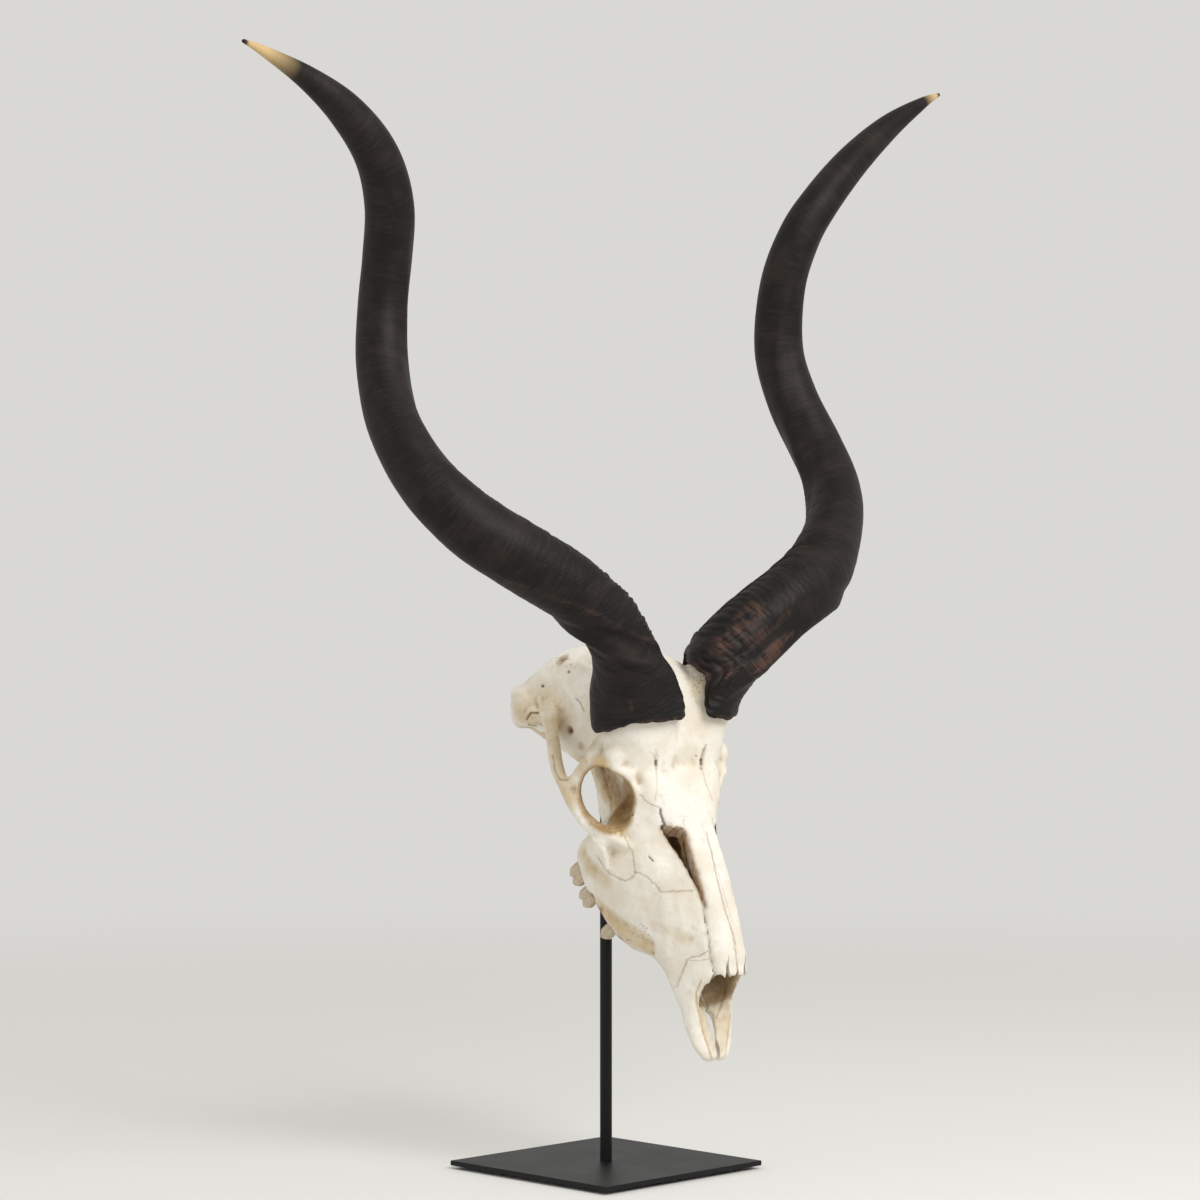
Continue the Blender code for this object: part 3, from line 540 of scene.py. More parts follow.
# Working the surface


@dataclass(frozen=True)
class ViewPoint:
    """The camera, level and square to the rod, and its lines of sight."""

    azimuth: float = -45.0
    distance: float = 3.42
    aside: float = -0.006
    height: float = 0.5683
    lens: float = 102.67
    sensor: float = 36.0
    frame_side: float = 1200.0
    clip_end: float = 100.0

    @property
    def back(self) -> Vector:
        """Direction from the rod to the camera."""
        turn = math.radians(self.azimuth)
        return Vector((math.sin(turn), -math.cos(turn), 0.0))

    @property
    def right(self) -> Vector:
        """Direction to the picture's right."""
        turn = math.radians(self.azimuth)
        return Vector((math.cos(turn), math.sin(turn), 0.0))

    @property
    def place(self) -> Vector:
        """Where the camera stands."""
        return self.back * self.distance + self.right * self.aside + Vector((0.0, 0.0, self.height))

    def make(self) -> bpy.types.Object:
        """Make the scene's camera."""
        data = bpy.data.cameras.new("camera")
        data.lens = self.lens
        data.sensor_width = self.sensor
        data.sensor_fit = "HORIZONTAL"
        data.clip_end = self.clip_end
        camera = bpy.data.objects.new("camera", data)
        bpy.context.scene.collection.objects.link(camera)
        camera.location = self.place
        camera.rotation_euler = (math.radians(90.0), 0.0, math.radians(self.azimuth))
        bpy.context.scene.camera = camera
        return camera

    def cast(self, tree: BVHTree, px: float, py: float) -> Vector | None:
        """Find where the line of sight through a point of the frame meets a skin.

        Args:
            tree: The skin's tree, in the skull's frame.
            px: Distance from the frame's left edge.
            py: Distance from its top edge.

        Returns:
            The place in the skull's frame, or None where the line misses.
        """
        focal = self.frame_side * self.lens / self.sensor
        aim = self.right * (px - self.frame_side / 2) + Vector((0.0, 0.0, self.frame_side / 2 - py))
        aim -= self.back * focal
        to_skull = seat_matrix().inverted()
        start = to_skull @ self.place
        way = (to_skull.to_3x3() @ aim).normalized()
        return tree.ray_cast(start, way)[0]


@dataclass(frozen=True)
class Mark:
    """A line or spot that is worked into a piece and coloured.

    Attributes:
        points: Points of the frame as (px, py), or of the skull as (x, y, z).
        radius: Half width, in millimetres.
        depth: How deep it is pressed at its middle; less than 0 raises it.
        tone: Channel that it colours.
        stain: How strongly it colours.
        blur: Half width of the stain as a multiple of the radius.
        stray: How far the line wanders to each side, in millimetres.
        sharp: Whether its section is a notch and not a bowl.
        both: Whether the other side of the skull has it too.
    """

    points: tuple[Row, ...]
    radius: float
    depth: float = 0.0
    tone: Tone = Tone.BROWN
    stain: float = 0.0
    blur: float = 1.0
    stray: float = 0.0
    sharp: bool = False
    both: bool = False


def tan_mark(points: Rows, radius: float, stain: float, both: bool = False) -> Mark:
    """Make a mark that only colours the bone tan."""
    return Mark(points, radius, tone=Tone.WARM, stain=stain, both=both)


@dataclass
class Stroke:
    """A mark laid on the skin: its line in the skull's frame and what it does there."""

    line: list[Vector]
    mark: Mark


def lay_marks(marks: Iterable[Mark], tree: BVHTree, eye: ViewPoint) -> list[Stroke]:
    """Find the lines of marks on the skin.

    Args:
        marks: The marks.
        tree: The skin's tree.
        eye: The view that their frame points are seen from.

    Returns:
        The strokes, those of the other side among them.
    """
    strokes = []
    for mark in marks:
        if len(mark.points[0]) == 2:
            found = [eye.cast(tree, *point) for point in mark.points]
        else:
            found = [tree.find_nearest(Vector(point))[0] for point in mark.points]
        line = [p for p in found if p is not None]
        if not line:
            log.info("a mark at %s misses the bone", mark.points[0])
            continue
        lines = [line]
        if mark.both:
            lines.append([tree.find_nearest(Vector((-p.x, p.y, p.z)))[0] for p in line])
        for way in lines:
            if mark.stray:
                way = [tree.find_nearest(p)[0] for p in wander(way, mark.stray)]
            strokes.append(Stroke(way, mark))
    return strokes


class Clay:
    """A skin that is pressed, raised and stained, with its tone attribute."""

    probe_step: float = 0.4
    even_share: float = 0.5
    swell_octaves: int = 3
    edge_rounds: int = 3

    def __init__(self, item: bpy.types.Object) -> None:
        """Read the object's mesh, in the skull's millimetres."""
        self.item = item
        mesh = item.data
        count = len(mesh.vertices)
        self.places = np.empty(count * 3)
        mesh.vertices.foreach_get("co", self.places)
        self.places = self.places.reshape(-1, 3)
        self.tone = np.zeros((count, 3))
        links = np.empty(len(mesh.edges) * 2, dtype=np.int64)
        mesh.edges.foreach_get("vertices", links)
        self.links = links.reshape(-1, 2)
        self.share = np.maximum(np.bincount(self.links.ravel(), minlength=count), 1)[:, None]
        self.tree = points_tree(self.places)
        self.read_normals()

    def read_normals(self) -> None:
        """Read the normals of the skin as it is now."""
        mesh = self.item.data
        mesh.vertices.foreach_set("co", self.places.ravel())
        mesh.update()
        normals = np.empty(len(self.places) * 3)
        mesh.vertex_normals.foreach_get("vector", normals)
        self.normals = normals.reshape(-1, 3)

    def spread(self, values: np.ndarray, rounds: int) -> np.ndarray:
        """Even out values over the skin, each with those of its neighbours."""
        a, b = self.links.T
        for _ in range(rounds):
            total = np.zeros_like(values)
            np.add.at(total, a, values[b])
            np.add.at(total, b, values[a])
            values = values * (1.0 - self.even_share) + total / self.share * self.even_share
        return values

    def near(self, line: Line, radius: float) -> tuple[np.ndarray, np.ndarray]:
        """Find the skin near a line.

        Args:
            line: The line's points.
            radius: How far to look.

        Returns:
            The vertices, and for each its distance as a share of the radius.
        """
        best: dict[int, float] = {}
        for p in spaced(line, radius * self.probe_step):
            for _, i, distance in self.tree.find_range(p, radius):
                if distance < best.get(i, radius):
                    best[i] = distance
        found = np.fromiter(best.keys(), dtype=np.int64, count=len(best))
        far = np.fromiter(best.values(), dtype=float, count=len(best))
        return found, far / radius

    def press(self, strokes: Iterable[Stroke]) -> None:
        """Press strokes into the skin, or raise them out of it."""
        for stroke in strokes:
            mark = stroke.mark
            if mark.depth:
                found, far = self.near(stroke.line, mark.radius)
                bowl = 1.0 - far if mark.sharp else (1.0 - far**2) ** 2
                self.places[found] -= self.normals[found] * (mark.depth * bowl)[:, None]

    def colour(self, strokes: Iterable[Stroke]) -> None:
        """Colour the skin along strokes."""
        for stroke in strokes:
            mark = stroke.mark
            if mark.stain:
                found, far = self.near(stroke.line, mark.radius * mark.blur)
                self.stain(found, mark.tone, mark.stain * (1.0 - far**2))

    def follow(self, plain: "Clay", worked: "Clay") -> None:
        """Take over the shape and tone that a skin was given.

        Args:
            plain: That skin before it was worked.
            worked: The same skin afterwards, vertex for vertex.
        """
        found = [plain.tree.find(place)[1] for place in self.places]
        self.places += (worked.places - plain.places)[found]
        self.tone = worked.tone[found]

    def stain(self, found: np.ndarray, tone: Tone, amount: np.ndarray | float) -> None:
        """Colour vertices, on top of the colour that they have."""
        kept = 1.0 - self.tone[found, tone.value]
        self.tone[found, tone.value] = 1.0 - kept * (1.0 - np.clip(amount, 0.0, 1.0))

    def stain_all(self, tone: Tone, amount: np.ndarray) -> None:
        """Colour every vertex by its own amount."""
        self.stain(np.arange(len(self.places)), tone, amount)

    def inside(self, shape: bmesh.types.BMesh, reach: float = 2.2) -> np.ndarray:
        """Tell which of the skin a hollow's cutter made, and free the cutter.

        Args:
            shape: The cutter.
            reach: How far off the cutter's own skin still counts.

        Returns:
            For each vertex 1 where it is the hollow's wall and 0 where it isn't, with a soft edge.
        """
        tree = BVHTree.FromBMesh(shape)
        low, high = (np.array(corner) for corner in corners_of(shape))
        shape.free()
        weight = np.zeros((len(self.places), 1))
        near = np.all((self.places > low - reach) & (self.places < high + reach), axis=1)
        for i in np.flatnonzero(near):
            hit, normal, _, _ = tree.find_nearest(self.places[i])
            off = Vector(self.places[i]) - hit
            if off.length < reach or off.dot(normal) < 0.0:
                weight[i] = 1.0
        return self.spread(weight, self.edge_rounds)[:, 0]

    def roughen(self, amount: float, size: float) -> None:
        """Lift and sink the skin by an amount in swellings of a size, as grown bone is never even."""
        lift = [fractal(Vector(p) / size, self.swell_octaves, 0.6) for p in self.places]
        self.places += self.normals * (np.array(lift) * amount)[:, None]

    def hollowness(self, rounds: int) -> np.ndarray:
        """Tell how far each vertex lies below the evened skin, in millimetres."""
        even = self.spread(self.places.copy(), rounds)
        return np.einsum("ij,ij->i", even - self.places, self.normals)

    def finish(self) -> bpy.types.Object:
        """Write the shape and the tone back."""
        mesh = self.item.data
        mesh.vertices.foreach_set("co", self.places.ravel())
        colours = np.ones((len(self.places), 4))
        colours[:, :3] = np.clip(self.tone, 0.0, 1.0)
        layers = mesh.color_attributes
        layer = layers.get("tone") or layers.new("tone", "FLOAT_COLOR", "POINT")
        layer.data.foreach_set("color", colours.ravel())
        mesh.update()
        return self.item


def refine(item: bpy.types.Object, strokes: Sequence[Stroke], margin: float, longest: float) -> None:
    """Divide the long edges of a skin near fine strokes, in two rounds.

    Args:
        item: The object.
        strokes: The strokes.
        margin: How far beyond a stroke's own half width to divide, in millimetres.
        longest: Edges up to this length stay whole, and so do those up to half the stroke's radius.
    """
    points = [(p, stroke.mark.radius) for stroke in strokes for p in spaced(stroke.line, LINE_STEP)]
    if not points:
        return
    tree = points_tree([p for p, _ in points])
    bm = mesh_of(item)
    for _ in range(2):
        close = []
        for edge in bm.edges:
            if edge.calc_length() > longest:
                _, i, distance = tree.find((edge.verts[0].co + edge.verts[1].co) / 2)
                if distance < points[i][1] + margin and edge.calc_length() > 0.5 * points[i][1]:
                    close.append(edge)
        bmesh.ops.subdivide_edges(bm, edges=close, cuts=1, use_grid_fill=True)
        bmesh.ops.triangulate(bm, faces=[face for face in bm.faces if len(face.verts) > 4])
    bm.to_mesh(item.data)
    bm.free()


# Finishes


def linear(code: str) -> tuple[float, float, float, float]:
    """Turn an sRGB hex colour into linear light."""
    channels = [int(code[i : i + 2], 16) / 255.0 for i in (1, 3, 5)]
    light = [c / 12.92 if c <= 0.04045 else ((c + 0.055) / 1.055) ** 2.4 for c in channels]
    return (*light, 1.0)


class Surface:
    """A material while it is made, with its shader."""

    def __init__(self, name: str, **constants) -> None:
        """Make the material and set sockets of its shader by their names, with _ for a space."""
        self.material = bpy.data.materials.new(name)
        self.material.use_nodes = True
        self.tree = self.material.node_tree
        self.shader = self.tree.nodes["Principled BSDF"]
        for key, value in constants.items():
            self.feed(self.shader, key.replace("_", " "), value)

    def feed(self, node: bpy.types.Node, key: str | int, value: object) -> None:
        """Join another node's output to a socket, or set the socket to a value."""
        if isinstance(value, bpy.types.NodeSocket):
            self.tree.links.new(value, node.inputs[key])
        else:
            node.inputs[key].default_value = value

    def add(self, kind: str, inputs: dict | None = None, **settings) -> bpy.types.Node:
        """Add a node.

        Args:
            kind: The node's type.
            inputs: Values or other nodes' outputs, by the socket's name or number.
            **settings: The node's own properties.

        Returns:
            The node.
        """
        node = self.tree.nodes.new(kind)
        for key, value in settings.items():
            setattr(node, key, value)
        for key, value in (inputs or {}).items():
            self.feed(node, key, value)
        return node

    def where(self) -> bpy.types.NodeSocket:
        """Give a point's place on its piece."""
        return self.add("ShaderNodeTexCoord").outputs["Object"]

    def attribute(self, name: str, output: str) -> bpy.types.NodeSocket:
        """Give an attribute of the skin."""
        return self.add("ShaderNodeAttribute", attribute_name=name).outputs[output]

    def tones(self) -> Sequence[bpy.types.NodeSocket]:
        """Give the channels of the tone attribute."""
        return self.add("ShaderNodeSeparateColor", {0: self.attribute("tone", "Color")}).outputs

    def blend(self, share: object, low: object, high: object) -> bpy.types.NodeSocket:
        """Mix two colours by a share."""
        return self.add("ShaderNodeMix", {0: share, 6: low, 7: high}, data_type="RGBA").outputs[2]

    def between(self, value: object, low: float, high: float) -> bpy.types.NodeSocket:
        """Turn a value into 0 below one limit and 1 above the other, with an even step between."""
        limits = {0: value, 1: low, 2: high}
        return self.add("ShaderNodeMapRange", limits, interpolation_type="SMOOTHSTEP").outputs[0]

    def join(self, a: object, b: object, operation: str = "ADD") -> bpy.types.NodeSocket:
        """Join two values by a sum."""
        return self.add("ShaderNodeMath", {0: a, 1: b}, operation=operation).outputs[0]

    def times(self, a: object, b: object) -> bpy.types.NodeSocket:
        """Multiply two values."""
        return self.join(a, b, "MULTIPLY")

    def grain(
        self, where: object, size_mm: float, stretch: Row = (1.0, 1.0, 1.0), detail: float = 3.0
    ) -> bpy.types.NodeSocket:
        """Add a noise with a feature size in millimetres, drawn out along an axis by its stretch."""
        scaled = self.add("ShaderNodeMapping", {"Vector": where, "Scale": stretch}).outputs[0]
        inputs = {"Vector": scaled, "Scale": 1.0 / (size_mm * MM), "Detail": detail}
        return self.add("ShaderNodeTexNoise", inputs).outputs[0]

    def finish(self, colour: object, rough: object, height: object, relief_mm: float) -> bpy.types.Material:
        """Join everything to the shader.

        Args:
            colour: The colour's output.
            rough: The roughness's output.
            height: The relief's output.
            relief_mm: Height of the relief, in millimetres.

        Returns:
            The finished material.
        """
        bump = self.add("ShaderNodeBump", {"Height": height, "Strength": 1.0, "Distance": relief_mm * MM})
        for key, value in (("Base Color", colour), ("Roughness", rough), ("Normal", bump.outputs[0])):
            self.feed(self.shader, key, value)
        return self.material


@dataclass(frozen=True)
class BoneFinish:
    """Sun-bleached, boiled bone.

    Real bone that has been boiled and bleached is a chalky cream with no gloss. It is tan on the thin arches,
    and its skin shows pores and a faint grain along the face. The tan and brown in its hollows and the
    near-black in its foramina are painted shade.
    """

    name: str = "bleached_bone"
    pale: str = "#EDE8DE"
    cream: str = "#E1D8C7"
    cool: str = "#DAD5C9"
    tan: str = "#C2A878"
    brown: str = "#7E5A36"
    dark: str = "#231A14"
    cloud_mm: float = 34.0
    mottle_mm: float = 7.0
    pore_mm: float = 0.9
    streak_mm: float = 1.6
    streak_stretch: Row = (1.0, 0.55, 0.16)
    streak_share: float = 0.22
    relief_mm: float = 0.35

    def make(self) -> bpy.types.Material:
        """Make the material."""
        skin = Surface(self.name, IOR=1.5, Specular_IOR_Level=0.25)
        where = skin.where()
        tones = skin.tones()
        cloud = skin.grain(where, self.cloud_mm)
        mottle = skin.grain(where, self.mottle_mm, detail=5.0)
        fleck = skin.grain(where, self.pore_mm, detail=2.0)
        streak = skin.grain(where, self.streak_mm, self.streak_stretch, detail=4.0)
        colour = skin.blend(skin.between(cloud, 0.35, 0.68), linear(self.pale), linear(self.cream))
        colour = skin.blend(skin.between(mottle, 0.52, 0.8), colour, linear(self.cool))
        faint = skin.times(skin.between(streak, 0.45, 0.75), self.streak_share)
        colour = skin.blend(faint, colour, linear(self.cream))
        uneven = skin.join(skin.times(mottle, 1.1), 0.45)
        # The tone channels carry real tan and brown stains and also painted shade: tan and brown in hollows,
        # near-black in foramina and pits.
        for channel, code in enumerate((self.tan, self.brown, self.dark)):
            share = skin.add("ShaderNodeClamp", {0: skin.times(tones[channel], uneven)}).outputs[0]
            colour = skin.blend(share, colour, linear(code))
        rough = skin.join(skin.times(mottle, 0.2), 0.52)
        relief = skin.join(skin.times(fleck, 0.55), skin.times(streak, 0.6))
        return skin.finish(colour, rough, skin.join(relief, mottle), self.relief_mm)


@dataclass(frozen=True)
class HornFinish:
    """Keratin sheath of a grown horn.

    Keratin weathers to a matt near-black brown. It splits in thin layers along the growth rings, which
    leaves rusty patches, its fibres run from the foot to the tip, and the rubbed tip shines like amber.
    """

    name: str = "weathered_keratin"
    black: str = "#0F0C0B"
    umber: str = "#241B17"
    rust: str = "#5C4034"
    amber: str = "#C9AC7C"
    # Colour of the tip's end, also used as painted shade at a horn's foot.
    end: str = "#171210"
    fibre_mm: float = 0.8
    ring_mm: float = 2.4
    cloud_mm: float = 26.0
    grit_mm: float = 1.3
    hatch_mm: float = 2.6
    relief_mm: float = 0.4

    def make(self) -> bpy.types.Material:
        """Make the material."""
        skin = Surface(self.name, IOR=1.54, Specular_IOR_Level=0.2)
        along = skin.attribute("grain", "Vector")
        rusty, clear, dark_end_and_shade = list(skin.tones())[:3]
        fibre = skin.grain(along, self.fibre_mm, (1.0, 1.0, 0.06), detail=4.0)
        ring = skin.grain(along, self.ring_mm, (0.09, 0.09, 1.0), detail=5.0)
        cloud = skin.grain(along, self.cloud_mm, detail=4.0)
        grit = skin.grain(along, self.grit_mm)
        hatch = skin.grain(along, self.hatch_mm, (1.0, 1.0, 0.1))
        dusty = skin.join(skin.times(cloud, 0.6), skin.times(ring, 0.4))
        colour = skin.blend(skin.between(dusty, 0.42, 0.66), linear(self.black), linear(self.umber))
        streaks = skin.between(skin.join(skin.join(ring, hatch), cloud), 1.25, 1.85)
        colour = skin.blend(skin.times(rusty, streaks), colour, linear(self.rust))
        colour = skin.blend(clear, colour, linear(self.amber))
        # Painted shade: the end colour darkens the very tip and also the hollow at the left horn's foot.
        colour = skin.blend(dark_end_and_shade, colour, linear(self.end))
        rough = skin.join(skin.times(grit, 0.22), 0.42)
        relief = skin.join(skin.times(fibre, 0.5), skin.times(ring, 0.9))
        return skin.finish(colour, rough, skin.join(relief, skin.times(grit, 0.4)), self.relief_mm)


@dataclass(frozen=True)
class ToothFinish:
    """Worn cheek teeth.

    Enamel is harder and glossier than bone, ivory at its ridges, with brown stain in its folds.
    """

    name: str = "stained_enamel"
    ivory: str = "#C4B59A"
    stain: str = "#7A6044"
    dark: str = "#3A2A1E"
    mottle_mm: float = 2.4
    relief_mm: float = 0.15

    def make(self) -> bpy.types.Material:
        """Make the material."""
        skin = Surface(self.name, IOR=1.62, Specular_IOR_Level=0.5)
        tones = skin.tones()
        mottle = skin.grain(skin.where(), self.mottle_mm, detail=4.0)
        share = skin.join(skin.join(mottle, tones[Tone.BROWN.value]), 0.62, "SUBTRACT")
        colour = skin.blend(skin.between(share, -0.2, 0.6), linear(self.ivory), linear(self.stain))
        colour = skin.blend(tones[Tone.DARK.value], colour, linear(self.dark))
        rough = skin.join(skin.times(mottle, 0.25), 0.24)
        return skin.finish(colour, rough, mottle, self.relief_mm)


@dataclass(frozen=True)
class CoatFinish:
    """A plain coat: black powder coat on steel, or moulded rubber.

    Powder coat flows out into a fine orange-peel skin, satin and even. Rubber is deep black and dull.
    """

    name: str
    colour: str
    worn: str
    roughness: float
    shine: float
    peel_mm: float
    relief_mm: float
    haze_mm: float = 45.0

    def make(self) -> bpy.types.Material:
        """Make the material."""
        skin = Surface(self.name, IOR=1.5, Specular_IOR_Level=self.shine)
        where = skin.where()
        peel = skin.grain(where, self.peel_mm, detail=2.0)
        haze = skin.grain(where, self.haze_mm)
        share = skin.times(skin.between(haze, 0.4, 0.75), 0.5)
        colour = skin.blend(share, linear(self.colour), linear(self.worn))
        rough = skin.join(skin.times(haze, 0.12), self.roughness - 0.06)
        return skin.finish(colour, rough, peel, self.relief_mm)


@dataclass(frozen=True)
class FloorFinish:
    """Matt seamless paper, which fades into the plain surround far from the object."""

    name: str = "pale_paper"
    near: str = "#E3E2DE"
    fade_from: float = 0.9
    fade_to: float = 3.2

    def make(self) -> bpy.types.Material:
        """Make the material."""
        skin = Surface(self.name, Base_Color=linear(self.near), Roughness=0.9)
        reach = skin.add("ShaderNodeVectorMath", {0: skin.where()}, operation="LENGTH").outputs["Value"]
        far = skin.add("ShaderNodeEmission", {"Color": (*SURROUND, 1.0), "Strength": 1.0}).outputs[0]
        share = skin.between(reach, self.fade_from, self.fade_to)
        mixed = skin.add("ShaderNodeMixShader", {0: share, 1: skin.shader.outputs[0], 2: far})
        skin.feed(skin.tree.nodes["Material Output"], 0, mixed.outputs[0])
        return skin.material


def dress(piece: bpy.types.Object, material: bpy.types.Material) -> bpy.types.Object:
    """Give a piece its one material and smooth shading, with its sharp creases kept."""
    piece.data.materials.clear()
    piece.data.materials.append(material)
    piece.data.shade_smooth()
    piece.data.set_sharp_from_angle(angle=math.radians(CREASE))
    return piece


def hand_over(piece: bpy.types.Object, node: str) -> None:
    """Put a finished piece in the place of its solid, in the part's own frame."""
    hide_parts(node)
    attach(piece, "root")
    piece.data.calc_loop_triangles()
    log.info("%s stands for %s, %d triangles", piece.name, node, len(piece.data.loop_triangles))


# The horns


@dataclass
class Horn:
    """A horn: a keeled oval that turns as it is carried up its spiral, ringed near the foot.

    Attributes:
        node: The solid that it stands for.
        side: Its side of the skull.
        path: Rows of (out, y, z, half width) along the axis.
        rim: Rows of (heading, height) of its lower edge; 0 faces forwards and 90 outwards.
        keel_headings: Rows of (share of the length, heading) of its keel.
        amber: Length of the clear tip, in millimetres.
        marks: What is worked into it and stained.
        keel_height, oval_base: How far the keel and the oval stand out, as shares of the half width.
        keel_spread, crest_spread, groove_spread: Half widths round the horn, in radians.
        seat_inset, seat_length: How far inside the surface its bone seat lies, and its length.
        ring_heading: The heading that the strongest rings face.
        ring_pitch, ring_closing: Spacing of the first rings, and the length over which they close up.
        ring_faint, ring_reach: Strength of rings that face away, and the share of the length with rings.
        rim_fade: Length over which the rings set in above the lower edge.
        warp, warp_wave: How far rings run off level, and over which length.
    """

    node: str
    side: Side
    path: Rows
    rim: Rows
    keel_headings: Rows
    amber: float
    marks: tuple[Mark, ...] = ()
    keel_height: float = 0.11
    keel_spread: float = 0.42
    oval_base: float = 0.07
    around: int = 112
    stations: int = 640
    seat_inset: float = 9.0
    seat_length: float = 92.0
    ring_heading: float = -95.0
    ring_pitch: float = 9.2
    ring_closing: float = 480.0
    ring_height: float = 4.6
    ring_faint: float = 0.16
    ring_reach: float = 0.5
    rim_fade: float = 5.0
    warp: float = 6.0
    warp_wave: float = 55.0
    crest_height: float = 0.05
    crest_spread: float = 0.14
    groove_depth: float = 0.06
    groove_turn: float = 0.55
    groove_spread: float = 0.26
    skin_wave: float = 9.0
    skin_height: float = 0.25
    lump_wave: float = 60.0
    lump_height: float = 0.8
    fray: float = 1.5
    first_ring: float = 1.6
    last_ring: float = 1.0
    lip: Rows = ((5.0, -14.0), (3.0, -5.0), (0.6, -2.6), (0.0, -1.5), (0.1, -0.5), (0.7, 0.0))
    lip_rows: int = 8
    lip_stain: float = 0.55
    end_length: float = 7.0

    def __post_init__(self) -> None:
        """Lay out the axis and the keel's headings."""
        self.points = smooth_row([Vector(stop[:3]) for stop in self.path], 8)
        self.radii = smooth_row([float(stop[3]) for stop in self.path], 8)
        self.lengths = [0.0]
        for a, b in zip(self.points, self.points[1:]):
            self.lengths.append(self.lengths[-1] + (b - a).length)
        self.total = self.lengths[-1]
        shares = smooth_row([float(row[0]) for row in self.keel_headings], 6)
        turns = smooth_row([float(row[1]) for row in self.keel_headings], 6)
        self.keel_turns = tuple(zip(shares, turns))

    def axis(self, length: float) -> tuple[Vector, Vector, float]:
        """Give the axis point, the direction and the half width at a length along the axis."""
        length = min(max(length, 0.0), self.total)
        i = min(max(bisect.bisect_left(self.lengths, length) - 1, 0), len(self.lengths) - 2)
        share = (length - self.lengths[i]) / max(self.lengths[i + 1] - self.lengths[i], 1e-6)
        before = self.points[max(i - 1, 0)].lerp(self.points[i], share)
        after = self.points[i + 1].lerp(self.points[min(i + 2, len(self.points) - 1)], share)
        point = self.points[i].lerp(self.points[i + 1], share)
        radius = self.radii[i] + (self.radii[i + 1] - self.radii[i]) * share
        return point, (after - before).normalized(), radius

    def place(self, length: float, angle: float, off: float = 0.0) -> Vector:
        """Give a surface point.

        Args:
            length: Length along the axis.
            angle: Angle round from the keel.
            off: How far beyond the plain surface, in millimetres.

        Returns:
            The place in the skull's frame.
        """
        point, tangent, radius = self.axis(length)
        share = length / self.total
        heading = math.radians(table_value(self.keel_turns, share))
        keel = Vector((math.sin(heading), -math.cos(heading), 0.0))
        keel = (keel - tangent * keel.dot(tangent)).normalized()
        cross = tangent.cross(keel)
        oval = self.oval_base * max(0.0, 1.0 - share * 4.5)
        ridge = self.keel_height * (1.0 - share)
        turn = min(angle % math.tau, math.tau - angle % math.tau)
        broad = math.exp(-((turn / self.keel_spread) ** 2))
        reach = radius * (1.0 + oval * math.cos(2 * angle) + ridge * broad)
        reach = max(reach * (1.0 - 0.3 * ridge) + off, 0.5)
        q = point + (keel * math.cos(angle) + cross * math.sin(angle)) * reach
        return Vector((self.side.value * q.x, q.y, q.z))

    def heading(self, length: float, angle: float) -> float:
        """Tell which way a surface point faces: 0 forwards, 90 outwards, in degrees."""
        q = self.place(length, angle)
        point, _, _ = self.axis(length)
        return math.degrees(math.atan2(self.side.value * q.x - point.x, point.y - q.y))

    def rim_length(self, angle: float) -> float:
        """Find the length at which the surface meets the height of the horn's lower edge."""
        first = self.rim[0][0]
        whole = (*self.rim, (first + 360.0, self.rim[0][1]))
        low, high = 0.0, 200.0
        for _ in range(24):
            middle = (low + high) / 2
            turned = first + (self.heading(middle, angle) - first) % 360.0
            if self.place(middle, angle).z < table_value(whole, turned):
                low = middle
            else:
                high = middle
        return high

    def seat(self) -> bmesh.types.BMesh:
        """The raised seat of bone inside the horn's foot."""
        steps, around = 12, 48
        rings = []
        for i in range(steps + 1):
            length = self.seat_length * i / steps
            rings.append([self.place(length, math.tau * k / around, -self.seat_inset) for k in range(around)])
        return wrap(rings)

    def relief(self, grown: float, from_rim: float, length: float, angle: float) -> float:
        """Give the height of growth rings, keel and hollows over the plain surface.

        Args:
            grown: Length grown since the lower edge, the same all round a ring.
            from_rim: Distance up from the lower edge.
            length: Length along the axis.
            angle: Angle round from the keel.

        Returns:
            The height in millimetres.
        """
        share = length / self.total
        radius = self.axis(length)[2]
        around = Vector((math.cos(angle), math.sin(angle), 0.0)) * 1.5
        inward = math.cos(math.radians(self.heading(length, angle) + 90.0))
        facing = max(math.cos(math.radians(self.heading(length, angle) - self.ring_heading)), inward)
        strength = self.ring_faint + (1.0 - self.ring_faint) * max(0.0, facing)
        strength *= max(0.0, 1.0 - share / self.ring_reach) ** 0.9
        strength *= min(1.0, max(0.0, from_rim / self.rim_fade))
        warp = fractal(around + Vector((0.0, 0.0, grown / self.warp_wave))) * self.warp
        closing = self.ring_closing
        phase = closing / self.ring_pitch * (math.exp((grown + warp) / closing) - 1.0)
        wave = abs(math.sin(math.pi * phase)) ** 0.8
        uneven = 0.6 + 0.8 * noise.noise(Vector((math.floor(phase) * 0.71, angle * 0.8, 3.0)))
        rings = self.ring_height * strength * uneven * wave * math.exp(-grown / closing)
        turn = (angle + math.pi) % math.tau - math.pi
        rise = min(1.0, max(0.0, (share - 0.04) / 0.08)) * (1.0 - share)
        crest = self.crest_height * math.exp(-((turn / self.crest_spread) ** 2))
        groove = self.groove_depth * math.exp(-(((abs(turn) - self.groove_turn) / self.groove_spread) ** 2))
        skin = fractal(Vector((around.x * 3.0, around.y * 3.0, length / self.skin_wave)), 3, 0.7)
        lump = fractal(around + Vector((5.0, 1.0, length / self.lump_wave)), 2, 0.7)
        fade = max(0.12, 1.0 - share * 1.3)
        uneven_skin = (self.skin_height * skin + self.lump_height * lump) * fade
        return rings + (crest - groove) * radius * rise + uneven_skin

